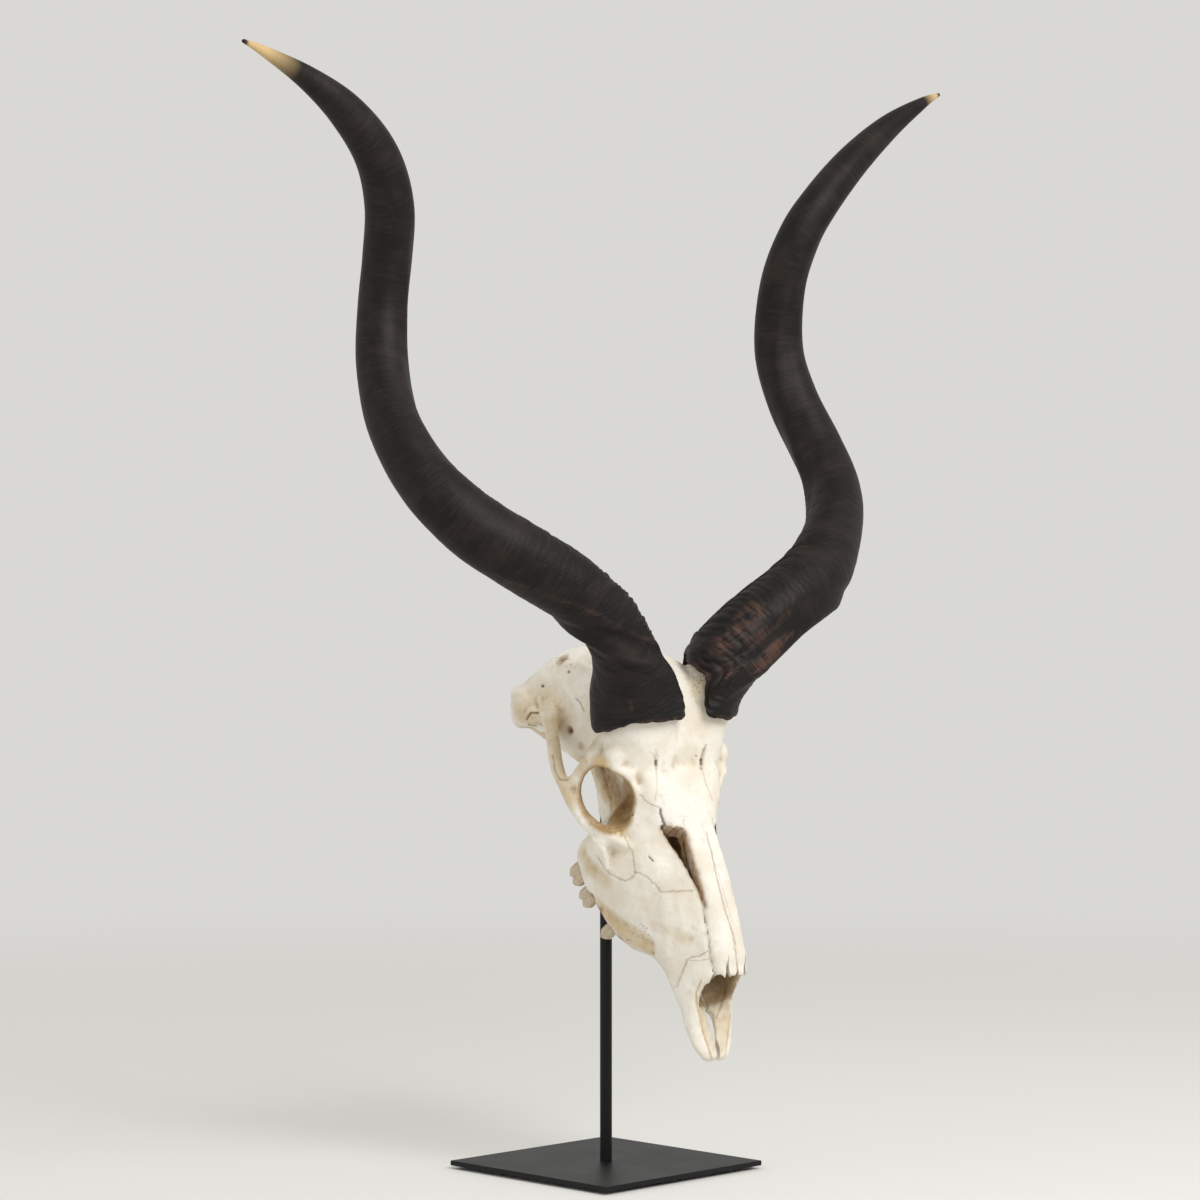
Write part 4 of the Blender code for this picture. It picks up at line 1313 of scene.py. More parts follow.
    def skin(self) -> bpy.types.Object:
        """Make the sheath from its turned-in lower edge to its tip, with its grain attribute."""
        angles = [math.tau * k / self.around for k in range(self.around)]
        frayed = [fractal(Vector((math.cos(a), math.sin(a), 2.6)) * 3.0, 4) for a in angles]
        starts = [self.rim_length(a) + self.fray * stray for a, stray in zip(angles, frayed)]
        mean = sum(starts) / len(starts)
        spans = [[s + up for s in starts] for up, _ in self.lip]
        rings = [[self.place(s + up, a, out) for s, a in zip(starts, angles)] for up, out in self.lip]
        first, last = self.first_ring, self.total - self.last_ring
        for i in range(self.stations + 1):
            share = i / self.stations
            share = share * 0.75 + 0.25 * share * share
            span = [s + first + (last - s - first) * share for s in starts]
            grown = (self.total - mean) * share
            spans.append(span)
            rings.append([
                self.place(n, a, self.relief(grown, n - s, n, a)) for n, s, a in zip(span, starts, angles)
            ])
        for back, off in ((0.4, -0.3), (0.0, -0.8)):
            spans.append([self.total - back] * self.around)
            rings.append([self.place(self.total - back, a, off) for a in angles])
        grains = []
        for span in spans:
            widths = [self.axis(n)[2] * MM for n in span]
            grains.append([
                Vector((math.cos(a) * w, math.sin(a) * w, n * MM)) for a, w, n in zip(angles, widths, span)
            ])
        return as_object(f"ringed_{self.node}", [wrap(rings, grains=grains)])

    def make(self, finish: bpy.types.Material, eye: ViewPoint) -> bpy.types.Object:
        """Make, stain and dress the horn, with the painted shade that its marks carry.

        Args:
            finish: Its material.
            eye: The view that the marks' frame points are seen from.

        Returns:
            The horn, in the part's frame.
        """
        horn = self.skin()
        clay = Clay(horn)
        strokes = lay_marks(self.marks, tree_of(horn), eye)
        clay.press(strokes)
        clay.colour(strokes)
        clay.stain(np.arange(self.around * 2, self.around * self.lip_rows), Tone.WARM, self.lip_stain)
        tip = np.array(self.place(self.total, 0.0))
        far = np.linalg.norm(clay.places - tip, axis=1)
        clay.stain_all(Tone.BROWN, (self.amber - far) / (self.amber * 0.6))
        clay.stain_all(Tone.DARK, (self.end_length - far) / 3.0)
        clay.finish()
        horn.data.transform(seat_matrix())
        return dress(horn, finish)


# The teeth


@dataclass(frozen=True)
class Tooth:
    """A cheek tooth: both its ends along the palate, how far out each is, and its crown's height."""

    name: str
    front: float
    back: float
    out_front: float
    out_back: float
    crown: float


@dataclass
class CheekTeeth:
    """The upper cheek teeth, those that are kept on each side, and the form that they share."""

    teeth: tuple[Tooth, ...] = (
        Tooth("p2", 126, 137, 30, 33, 8),
        Tooth("p3", 140, 152, 35, 38, 9),
        Tooth("p4", 156, 169, 39, 41, 13),
        Tooth("m1", 172, 189, 43, 45, 12),
        Tooth("m2", 192, 214, 46, 47, 13),
        Tooth("m3", 217, 241, 47, 46, 13),
    )
    kept: dict[Side, tuple[str, ...]] = field(
        default_factory=lambda: {Side.RIGHT: ("p4", "m2", "m3"), Side.LEFT: ("p3", "p4", "m1", "m2", "m3")}
    )
    width: float = 10.0
    root_h: float = -8.0
    alveolar_h: float = -20.0
    around: int = 72
    squareness: float = 0.8
    inset: float = 5.0
    rib_spots: Row = (0.06, 0.5, 0.94)
    rib_spread: float = 0.05
    rib_height: float = 1.5
    fold_spread: float = 0.08
    cusp_depth: float = 4.4

    def outline(self, tooth: Tooth, side: Side, h: float, scale: float, swell: float, cusp: float) -> Line:
        """Give the outline of a tooth at one level.

        Args:
            tooth: The tooth.
            side: Its side.
            h: Height of the level.
            scale: Size of the outline against the crown's widest.
            swell: How much wider all round, in millimetres.
            cusp: How far its cusps stand beyond the level.

        Returns:
            The outline in the skull's frame.
        """
        lobes = 2 if tooth.name.startswith("m") else 1
        middle, half = (tooth.front + tooth.back) / 2, (tooth.back - tooth.front) / 2
        line = []
        for k in range(self.around):
            angle = math.tau * k / self.around
            c, n = math.cos(angle), math.sin(angle)
            along = math.copysign(abs(c) ** self.squareness, c)
            across = math.copysign(abs(n) ** self.squareness, n)
            share = 0.5 + 0.5 * along
            wall = max(0.0, across) ** 0.5
            ribs = sum(math.exp(-(((share - spot) / self.rib_spread) ** 2)) for spot in self.rib_spots)
            folds = abs(math.sin(math.pi * lobes * share))
            inner = max(0.0, -across) * math.exp(-(((share - 0.5) / self.fold_spread) ** 2)) * (lobes - 1)
            place = tooth.out_front + (tooth.out_back - tooth.out_front) * share - self.inset
            place += across * (self.width / 2 + swell) * scale
            place += (self.rib_height * ribs - 0.9) * wall * scale + self.rib_height * inner * scale
            level = h - cusp * folds * (0.55 + 0.45 * wall)
            line.append(face_point(side.value * place, middle + along * (half + swell) * scale, level))
        return line

    def socket(self, tooth: Tooth, side: Side) -> bmesh.types.BMesh:
        """The room in the bone for a tooth, a little wider than the tooth."""
        low = self.alveolar_h - tooth.crown
        levels = ((self.root_h + GAP, 0.82), (self.alveolar_h, 0.94), (low, 1.0))
        return wrap([self.outline(tooth, side, h, scale, GAP + 0.2, 0.0) for h, scale in levels])

    def sockets(self) -> list[bmesh.types.BMesh]:
        """Give the sockets of every cheek tooth, lost ones too."""
        return [self.socket(tooth, side) for side in Side for tooth in self.teeth]

    def crown(self, tooth: Tooth, side: Side) -> bpy.types.Object:
        """Make a tooth: its root, its ribbed crown and its worn face with a deep fold in it."""
        edge = self.alveolar_h - tooth.crown
        levels = [(self.root_h, 0.82, 0.0)]
        for share, scale in ((0.0, 0.93), (0.15, 0.96), (0.35, 0.99), (0.6, 1.0), (0.8, 0.98), (0.93, 0.95)):
            cusp = self.cusp_depth * max(0.0, share - 0.25) / 0.75
            levels.append((self.alveolar_h - tooth.crown * share, scale, cusp))
        worn_face = (
            (0.0, 0.88, self.cusp_depth), (-0.1, 0.8, 4.3), (0.8, 0.7, 3.4), (2.4, 0.55, 2.0),
            (2.8, 0.5, 0.8), (1.6, 0.4, 0.8), (0.9, 0.3, 1.0), (1.4, 0.1, 0.9),
        )
        levels += [(edge + up, scale, cusp) for up, scale, cusp in worn_face]
        rings = [self.outline(tooth, side, h, scale, 0.0, cusp) for h, scale, cusp in levels]
        return as_object(f"crown_{tooth.name}_{side.word}", [wrap(rings)])

    def make(self, finish: bpy.types.Material) -> dict[str, bpy.types.Object]:
        """Make and dress the kept teeth.

        Args:
            finish: Their material.

        Returns:
            The teeth by node.
        """
        made = {}
        for side, names in self.kept.items():
            for tooth in self.teeth:
                if tooth.name not in names:
                    continue
                crown = self.crown(tooth, side)
                clay = Clay(crown)
                sunk = clay.hollowness(12)
                clay.stain_all(Tone.BROWN, np.clip(sunk * 1.6 + 0.15, 0.0, 0.9))
                clay.stain_all(Tone.DARK, np.clip(sunk * 2.2 - 1.0, 0.0, 0.8))
                clay.roughen(0.12, 1.6)
                clay.finish()
                crown.data.transform(seat_matrix())
                made[f"tooth_{tooth.name}_{side.word}"] = dress(crown, finish)
        return made


# The bone


@dataclass
class Skull:
    """The grown bone, its hollows, and the bones that open seams part from it.

    Attributes:
        voxel: Size of the skin's faces.
        first_smooth, last_smooth: Rounds of smoothing after fusing and after cutting.
        face, crown: Half outlines at distances along the palate and along Y.
        orbit_rim: Places on the rim of the eye's room, and orbit_centre its middle.
        cheek_arch, postorbital_bar, pterygoid, base, facial_crest: Stops of bars.
        nasal_edge: Rows of (distance, out, height) along the side of a nasal bone.
        nasal_seam: How wide the seam beside it is at each row.
        fissure, nasal_fork: Corners as (x, distance) of the gap beside a nasal bone and of its end.
        fissure_low, fissure_high: Heights between which the gap is cut; the painted shade on its walls starts
            at gap_shade_low.
        premaxilla_seam: Rows of (height, distance) down the seam behind a premaxilla.
    """

    voxel: float = 2.15
    first_smooth: int = 6
    last_smooth: int = 2
    face: Stations = (
        (-1.0, ((0, 7), (8, 7), (13, 6), (15, 3), (14, 0), (10, -2), (5, -2), (0, -2))),
        (12.0, ((0, 15), (11, 15), (18, 12), (22, 8), (22, 3), (17, 0), (9, -1), (0, 0))),
        (30.0, ((0, 27), (12, 27), (20, 24), (25, 17), (26, 9), (22, 3), (11, 3), (0, 6))),
        (48.0, ((0, 42), (13, 42), (21, 38), (26, 28), (27, 15), (24, 8), (13, 7), (0, 11))),
        (60.0, ((0, 83), (11, 81), (17, 74), (22, 60), (27, 38), (28, 16), (21, 9), (0, 13))),
        (80.0, ((0, 92), (11, 90), (18, 83), (22, 72), (28, 48), (31, 22), (22, 11), (0, 17))),
        (108.0, ((0, 101), (11, 99), (17, 93), (21, 86), (32, 58), (36, 26), (25, 8), (0, 14))),
        (135.0, ((0, 106), (12, 105), (18, 100), (22, 93), (36, 66), (42, 26), (33, -12), (0, 8))),
        (160.0, ((0, 110), (13, 108.5), (19, 104), (23, 98), (40, 70), (48, 24), (38, -20), (0, 6))),
        (190.0, ((0, 114), (14, 112.5), (20, 109), (26, 103), (46, 72), (55, 26), (44, -21), (0, 5))),
        (213.0, ((0, 117), (20, 116), (31, 110), (40, 98), (53, 70), (61, 34), (48, -20), (0, 6))),
        (230.0, ((0, 119), (28, 119), (44, 111), (50, 98), (58, 72), (61, 38), (47, -18), (0, 8))),
        (244.0, ((0, 122), (34, 122), (48, 115), (48, 98), (48, 72), (51, 32), (46, -16), (0, 4))),
        (254.0, ((0, 124), (35, 124), (50, 117), (42, 98), (36, 72), (38, 32), (38, -9), (0, 4))),
        (264.0, ((0, 126), (36, 126), (49, 118), (38, 98), (28, 72), (25, 44), (20, 8), (0, 4))),
        (285.0, ((0, 143), (36, 139), (48, 124), (34, 98), (27, 72), (23, 48), (19, 20), (0, 16))),
        (310.0, ((0, 152), (34, 146), (44, 124), (34, 98), (26, 76), (22, 58), (18, 36), (0, 32))),
    )
    crown: Stations = (
        (-121.0, ((0, 456), (14, 454), (24, 448), (28, 438), (24, 428), (14, 420), (0, 418))),
        (-114.0, ((0, 470), (22, 467), (40, 458), (52, 438), (44, 416), (24, 404), (0, 400))),
        (-98.0, ((0, 489), (24, 486), (44, 474), (60, 442), (58, 412), (34, 392), (0, 384))),
        (-76.0, ((0, 502), (26, 500), (50, 484), (64, 448), (58, 414), (32, 388), (0, 374))),
        (-48.0, ((0, 510), (26, 508), (48, 494), (56, 458), (50, 421), (34, 396), (0, 382))),
        (-20.0, ((0, 514), (26, 511), (44, 496), (50, 464), (49, 428), (42, 406), (0, 396))),
        (10.0, ((0, 515), (26, 511), (43, 496), (49, 464), (49, 430), (41, 410), (0, 402))),
        (40.0, ((0, 511), (26, 507), (46, 491), (51, 462), (49, 438), (30, 419), (0, 410))),
        (66.0, ((0, 500), (26, 493), (47, 477), (54, 456), (46, 438), (24, 429), (0, 420))),
        (88.0, ((0, 485), (24, 479), (43, 465), (49, 450), (40, 436), (20, 430), (0, 426))),
        (104.0, ((0, 470), (18, 466), (31, 458), (36, 447), (29, 438), (15, 433), (0, 432))),
        (110.0, ((0, 464), (10, 462), (18, 456), (21, 449), (17, 443), (9, 440), (0, 439))),
    )
    orbit_rim: Rows = (
        (71, -84, 401), (73, -67, 400), (74, -53, 390), (75, -48, 374), (74, -53, 358), (70, -68, 344),
        (61, -84, 337), (52, -95, 341), (49.5, -101, 356), (52.5, -107, 372), (62, -103, 390),
    )
    orbit_centre: Row = (61.0, -77.0, 369.0)
    cheek_arch: Rows = (
        (36, -90, 310, 16, 7), (52, -88, 321, 24, 11), (66, -76, 331, 22, 12), (76, -51, 349, 18, 10),
        (79, -34, 372, 18, 11), (78, -19, 394, 21, 13), (71, -4, 416, 22, 14), (61, 12, 436, 24, 14),
        (48, 32, 448, 26, 16), (35, 50, 455, 20, 12),
    )
    postorbital_bar: Rows = (
        (60, -74, 424, 26, 16), (69, -63, 412, 17, 12), (72, -53, 401, 12, 8), (77, -42, 386, 11, 8),
        (79, -30, 374, 14, 9),
    )
    pterygoid: Rows = (
        (16, -24, 326, 26, 5), (17, -19, 350, 28, 5), (18, -14, 376, 24, 6), (18, -2, 402, 26, 8),
    )
    base: Rows = (
        (0, -30, 368, 20, 24), (0, -4, 388, 20, 20), (0, 40, 406, 24, 16), (0, 108, 432, 24, 14),
    )
    facial_crest: Rows = (
        (70, -74, 330, 20, 14), (64, -71, 315, 18, 14), (58, -69, 301, 15, 12), (52, -71, 290, 8, 8),
    )
    nasal_edge: Rows = (
        (40, 15, 58), (56, 18, 64), (70, 19.5, 70.5), (97, 19.5, 82), (126, 20, 91), (161, 20, 99),
        (176, 19.5, 103), (190, 19, 106.5), (202, 18, 109.5),
    )
    nasal_seam: Row = (1.0, 1.0, 0.8, 0.7, 0.6, 0.5, 0.5, 0.5, 0.4)
    fissure: Rows = (
        (18.8, 115), (21.3, 133), (23.6, 152), (27, 170), (30, 183), (33, 194), (36, 206), (29, 200),
        (24.5, 198), (19.2, 192), (18.6, 176), (19, 161), (19, 140),
    )
    nasal_fork: Rows = (
        (-1, 30), (-1, 56), (2.5, 50), (5.5, 44.5), (8, 50), (10, 60), (11, 67), (12, 60), (13.5, 49),
        (15, 45), (17, 51), (18.5, 62), (22, 76), (26, 76), (26, 30),
    )
    premaxilla_seam: Rows = (
        (-20.0, 68.0), (18.0, 71.0), (48.0, 82.0), (60.0, 77.0), (72.5, 72.0),
    )
    snout_gap: float = 4.6
    fissure_low: float = 60.0
    fissure_high: float = 135.0
    fissure_stray: float = 0.7
    gap_shade_low: float = 40.0
    wall_reach: float = 0.3
    gap_wall_shade: float = 0.9
    swell_height: float = 0.55
    swell_size: float = 16.0
    refine_margin: float = 0.5
    refine_longest: float = 0.8

    def solids(self, seats: Iterable[bmesh.types.BMesh]) -> list[bmesh.types.BMesh]:
        """Give the overlapping forms that the bone is fused from.

        Args:
            seats: The raised seats inside the horns' feet.

        Returns:
            The forms.
        """
        shapes = [loft(self.face, face_point), loft(self.crown, crown_point), self.nasal_roof(), *seats]
        for side in (-1, 1):
            shapes.append(bar(tuple((*p, 10, 7) for p in self.orbit_rim), side, closed=True))
            shapes.append(bar(self.cheek_arch, side))
            shapes.append(bar(self.postorbital_bar, side))
            shapes.append(bar(self.facial_crest, side))
            shapes.append(self.eye_roof(side))
            shapes.append(ball((side * 45, -82, 337), (13, 17, 12)))
            shapes.append(ball((side * 65, -92, 409), (12, 13, 13)))
            shapes.append(ball((side * 54, -102, 392), (9, 7, 11)))
            shapes += self.ear_region(side)
            shapes.append(ball((side * 17, 112, 446), (12, 15, 18)))
            shapes.append(bar(self.pterygoid, side, flat_from=(60.0, -10.0, 360.0)))
        shapes.append(bar(self.base, 1, flat_from=(0.0, 40.0, 300.0)))
        shapes.append(cone((0, 0, 397), (0, 0, 440), 13, 20))
        return shapes

    def nasal_roof(self) -> bmesh.types.BMesh:
        """The forward run of the nasal bones, over the open end of the snout."""
        stations = (
            (43.0, ((0, 72), (9, 71), (14, 68.5), (14, 66.5), (9, 68.5), (0, 69.5))),
            (50.0, ((0, 76), (9, 75), (15, 72), (15, 70), (9, 72), (0, 73))),
            (58.0, ((0, 81), (10, 79), (17, 74), (17, 70), (9, 74), (0, 76))),
            (72.0, ((0, 89), (12, 87), (20, 80), (18, 76), (10, 82), (0, 84))),
        )
        return loft(stations, face_point)

    def eye_roof(self, side: int) -> bmesh.types.BMesh:
        """The shelf of the forehead bone over the eye."""
        stops = (
            (46, -104, 394, 40, 16), (54, -92, 404, 44, 16), (60, -76, 412, 44, 16), (62, -62, 418, 36, 16),
        )
        return bar(stops, side, flat_from=(20.0, -90.0, 330.0))

    def ear_region(self, side: int) -> list[bmesh.types.BMesh]:
        """The ear tube, the bulla, the mastoid wall and the stump of the spur by the condyle."""
        return [
            cone((side * 36, 56, 448), (side * 59, 45, 443), 12, 9),
            ball((side * 28, 60, 436), (11, 17, 10)),
            ball((side * 40, 79, 455), (13, 18, 20), tilt=12),
            ball((side * 44, 70, 453), (15, 20, 21)),
            bar(((38, 90, 450, 18, 12), (37, 93, 442, 12, 9), (36, 93, 438, 7, 6)), side),
        ]

    def nasal_cavity(self) -> bmesh.types.BMesh:
        """The airway inside the face, open at the snout."""
        stations = (
            (50.0, ((0, 68), (10, 66), (15, 57), (18, 46), (19, 35), (13, 24), (0, 21))),
            (62.0, ((0, 78), (8, 76), (12, 69), (16, 57), (21, 40), (19, 24), (0, 21))),
            (108.0, ((0, 94), (7, 92), (11, 87), (14, 79), (25, 55), (27, 26), (0, 20))),
            (160.0, ((0, 103), (9, 101), (13, 96), (16, 90), (32, 66), (37, 24), (0, 13))),
            (205.0, ((0, 106), (13, 104), (20, 98), (27, 86), (40, 60), (40, 26), (0, 14))),
            (236.0, ((0, 104), (14, 102), (22, 92), (28, 76), (28, 50), (24, 28), (0, 16))),
        )
        return loft(stations, face_point)

    def nostril_opening(self) -> bmesh.types.BMesh:
        """The room in front of the nasal bones, down to the floor between the snout's two arms."""
        stations = (
            (4.0, ((0, 20), (4, 19), (7, 15), (6, 12), (3, 11), (0, 10.5))),
            (12.0, ((0, 40), (9, 38), (14, 26), (13, 15), (7, 12.5), (0, 12))),
            (30.0, ((0, 60), (12, 58), (19, 44), (19.5, 25), (11, 19), (0, 17))),
            (40.0, ((0, 68), (12, 66), (19.5, 52), (20, 32), (12, 23.5), (0, 21))),
            (50.0, ((0, 74), (11, 72), (19.5, 60), (20.5, 34), (14, 23), (0, 20))),
            (58.0, ((0, 73), (9, 72), (16, 62), (20, 38), (15, 22), (0, 20))),
            (68.0, ((0, 74), (7, 72), (11, 66), (14, 54), (12, 34), (0, 24))),
        )
        return loft(stations, face_point)

    def palate_opening(self) -> bmesh.types.BMesh:
        """The long opening in the floor of the snout, with thin lips."""
        lips = ((12.0, 1.0, 12.0), (20.0, 2.8, 14.0), (30.0, 4.2, 17.0), (40.0, 5.2, 20.0), (46.0, 3.0, 19.0))
        stations = []
        for s, half, height in lips:
            under = ((half, height - 3.5), (half + 9.0, 2.0), (half + 9.0, -12.0), (0.0, -13.0))
            stations.append((s, ((0.0, height + 8.0), (half, height + 7.0), *under)))
        return loft(stations, face_point)

    def palate_vault(self) -> bmesh.types.BMesh:
        """The hollow of the palate between the tooth rows."""
        stations = (
            (104.0, ((0, 6), (8, 3), (10, -8), (10, -26), (6, -40), (0, -44))),
            (130.0, ((0, 3), (14, 1), (19, -10), (20, -28), (14, -44), (0, -50))),
            (160.0, ((0, 2), (20, 0), (27, -12), (28, -30), (20, -46), (0, -54))),
            (200.0, ((0, 2), (24, 0), (33, -12), (34, -30), (24, -46), (0, -54))),
            (240.0, ((0, 4), (24, 1), (33, -10), (34, -28), (24, -46), (0, -54))),
            (275.0, ((0, 8), (24, 6), (34, -6), (36, -26), (24, -46), (0, -54))),
        )
        return loft(stations, face_point)

    def throat(self) -> bmesh.types.BMesh:
        """The opening behind the palate."""
        stations = (
            (222.0, ((0, 44), (8, 42), (13, 34), (13, 24), (9, 16), (0, 14))),
            (250.0, ((0, 46), (10, 44), (14, 34), (14, 16), (12, -4), (0, -10))),
            (285.0, ((0, 28), (9, 24), (13, 12), (14, -6), (12, -26), (0, -32))),
            (310.0, ((0, 6), (9, 2), (13, -8), (14, -24), (12, -40), (0, -46))),
        )
        return loft(stations, face_point)

    def orbit_hollow(self, side: int) -> bmesh.types.BMesh:
        """The room of the eye, widest at its rim and narrow at the back."""
        middle = Vector(self.orbit_centre)
        deep = Vector((30.0, -52.0, 384.0))
        rings = []
        for depth, scale in ((-0.75, 1.06), (0.0, 0.93), (0.45, 0.96), (0.85, 0.62), (1.0, 0.3)):
            centre = middle.lerp(deep, depth)
            ring = [centre + (Vector(p) - middle) * scale for p in self.orbit_rim]
            rings.append([Vector((side * q.x, q.y, q.z)) for q in smooth_row(ring, 5, closed=True)])
        columns = [smooth_row(list(column), 4) for column in zip(*rings)]
        return wrap(list(zip(*columns)))

    def brain_room(self) -> bmesh.types.BMesh:
        """The hollow of the braincase."""
        return ball((0, 28, 462), (36, 62, 36))

    def hollows(self) -> list[bmesh.types.BMesh]:
        """Give every hollow of the bone."""
        cuts = [self.nasal_cavity(), self.nostril_opening(), self.palate_opening(), self.palate_vault()]
        cuts += [self.throat(), self.brain_room(), cone((0, 60, 452), (0, 140, 446), 14, 15)]
        for side in (-1, 1):
            cuts.append(self.orbit_hollow(side))
            cuts.append(cone((side * 46, 52, 444), (side * 66, 42, 441), 2.2, 2.6))
            cuts.append(ball((side * 72, -30, 456), (24, 30, 40), tilt=-20))
        return cuts

    def fuse(self, seats: Iterable[bmesh.types.BMesh]) -> bpy.types.Object:
        """Fuse the bone and cut its hollows.

        Args:
            seats: The raised seats inside the horns' feet.

        Returns:
            The whole bone, in the skull's frame.
        """
        whole = melt(as_object("worked_skull", self.solids(seats)), self.voxel, self.first_smooth)
        for cut in self.hollows():
            boolean(whole, as_object("cut", [cut]))
        melt(whole, self.voxel, self.last_smooth)
        return keep_main_shell(whole)

    def nasal_wedge(self, side: int, front: float, back: float, inner: float, seam: Row) -> bpy.types.Object:
        """Make the wedge over a nasal bone; with its seam it is the room that the bone leaves.

        Args:
            side: 1 for the skull's left, -1 for its right.
            front: Distance at its front end.
            back: Distance at its back end.
            inner: Distance of its inner face from the middle.
            seam: How much wider it is at each point of the nasal edge.

        Returns:
            The cutter.
        """
        rows = [Vector((s, out, h)) for s, out, h in self.nasal_edge]
        rows[0].x, rows[-1].x = front, back
        steps = 14
        edge = smooth_row(rows, steps)
        room = smooth_row(list(seam), steps)
        rings = []
        for p, gap in zip(edge, room):
            jag = fractal(Vector((p.x / 3.4, side * 7.0, gap))) * (0.35 + 0.9 * min(gap, 1.0))
            out = p.y + gap + (jag if gap else 0.0)
            low = p.z - 4.0 - gap * 0.8
            under = ((inner, low - 16), (out * 0.62, low - 10), (out, low))
            corners = (*under, (out + 1.5, p.z + 12), (inner, p.z + 40))
            rings.append([face_point(side * x, p.x, level) for x, level in corners])
        return as_object("cut", [wrap(rings)])

    def face_prism(
        self, side: int, outline: Rows, low: float, high: float, stray: float
    ) -> bmesh.types.BMesh:
        """Make a prism over an outline on the face.

        Args:
            side: 1 for the skull's left, -1 for its right.
            outline: Its corners as (x, s).
            low: Height of its lower end over the palate.
            high: Height of its upper end.
            stray: How uneven its outline is, in millimetres.

        Returns:
            The cutter.
        """
        line = smooth_row([Vector((x, s, 0.0)) for x, s in outline], 6, closed=True)
        line = [p + noise.noise_vector(p / 2.4 + Vector((0.0, 0.0, 9.0 * side))) * stray for p in line]
        return wrap([[face_point(side * p.x, p.y, h) for p in line] for h in (low, high)])

    def fissure_prism(self, side: int, low: float) -> bmesh.types.BMesh:
        """Make the prism over the gap beside a nasal bone, from a height upwards."""
        return self.face_prism(side, self.fissure, low, self.fissure_high, self.fissure_stray)

    def rod_room(self) -> bmesh.types.BMesh:
        """The room for the upper end of the rod."""
        radius = ROD_RADIUS + GAP
        return cone((0, 0, 300), (0, 0, ROD_TOP + GAP), radius, radius, 48)

    def snout_block(self, side: int, back_shift: float, inner: float) -> bpy.types.Object:
        """Make the block in front of the seam between premaxilla and maxilla."""
        rings = []
        for p in smooth_row([Vector(row) for row in self.premaxilla_seam], 12):
            stray = fractal(Vector((p.x / 5.0, 4.0, 1.0))) * 0.8
            back = p.y + back_shift + stray
            corners = ((inner, -20.0), (60.0, -20.0), (60.0, back), (inner, back))
            rings.append([face_point(side * x, s, p.x) for x, s in corners])
        return as_object("cut", [wrap(rings)])

    def part(self, whole: bpy.types.Object) -> dict[str, bpy.types.Object]:
        """Cut the nasal bones and the premaxillae off the skull, each with its gap.

        Args:
            whole: The whole bone; what is left of it is the skull.

        Returns:
            The parted bones by node.
        """
        front, back = self.nasal_edge[0][0], self.nasal_edge[-1][0]
        closed = (0.0,) * len(self.nasal_edge)
        pieces = {}
        for side in Side:
            node = f"nasal_bone_{side.word}"
            nasal = copy_of(whole, f"worked_{node}")
            wedge = self.nasal_wedge(side.value, front, back + GAP + 0.02, GAP / 2, closed)
            fork = self.face_prism(side.value, self.nasal_fork, 55.0, 110.0, 0.3)
            boolean(wedge, as_object("cut", [fork]))
            boolean(nasal, wedge, "INTERSECT")
            pieces[node] = keep_main_shell(nasal)
        for side in Side:
            boolean(whole, self.nasal_wedge(side.value, front - 4.0, back + GAP, -GAP, self.nasal_seam))
            boolean(whole, as_object("cut", [self.fissure_prism(side.value, self.fissure_low)]))
        for side in Side:
            node = f"premaxilla_{side.word}"
            snout = copy_of(whole, f"worked_{node}")
            boolean(snout, self.snout_block(side.value, 0.0, self.snout_gap / 2), "INTERSECT")
            pieces[node] = keep_main_shell(snout)
        for side in Side:
            boolean(whole, self.snout_block(side.value, GAP, -1.0))
        keep_main_shell(whole)
        return pieces

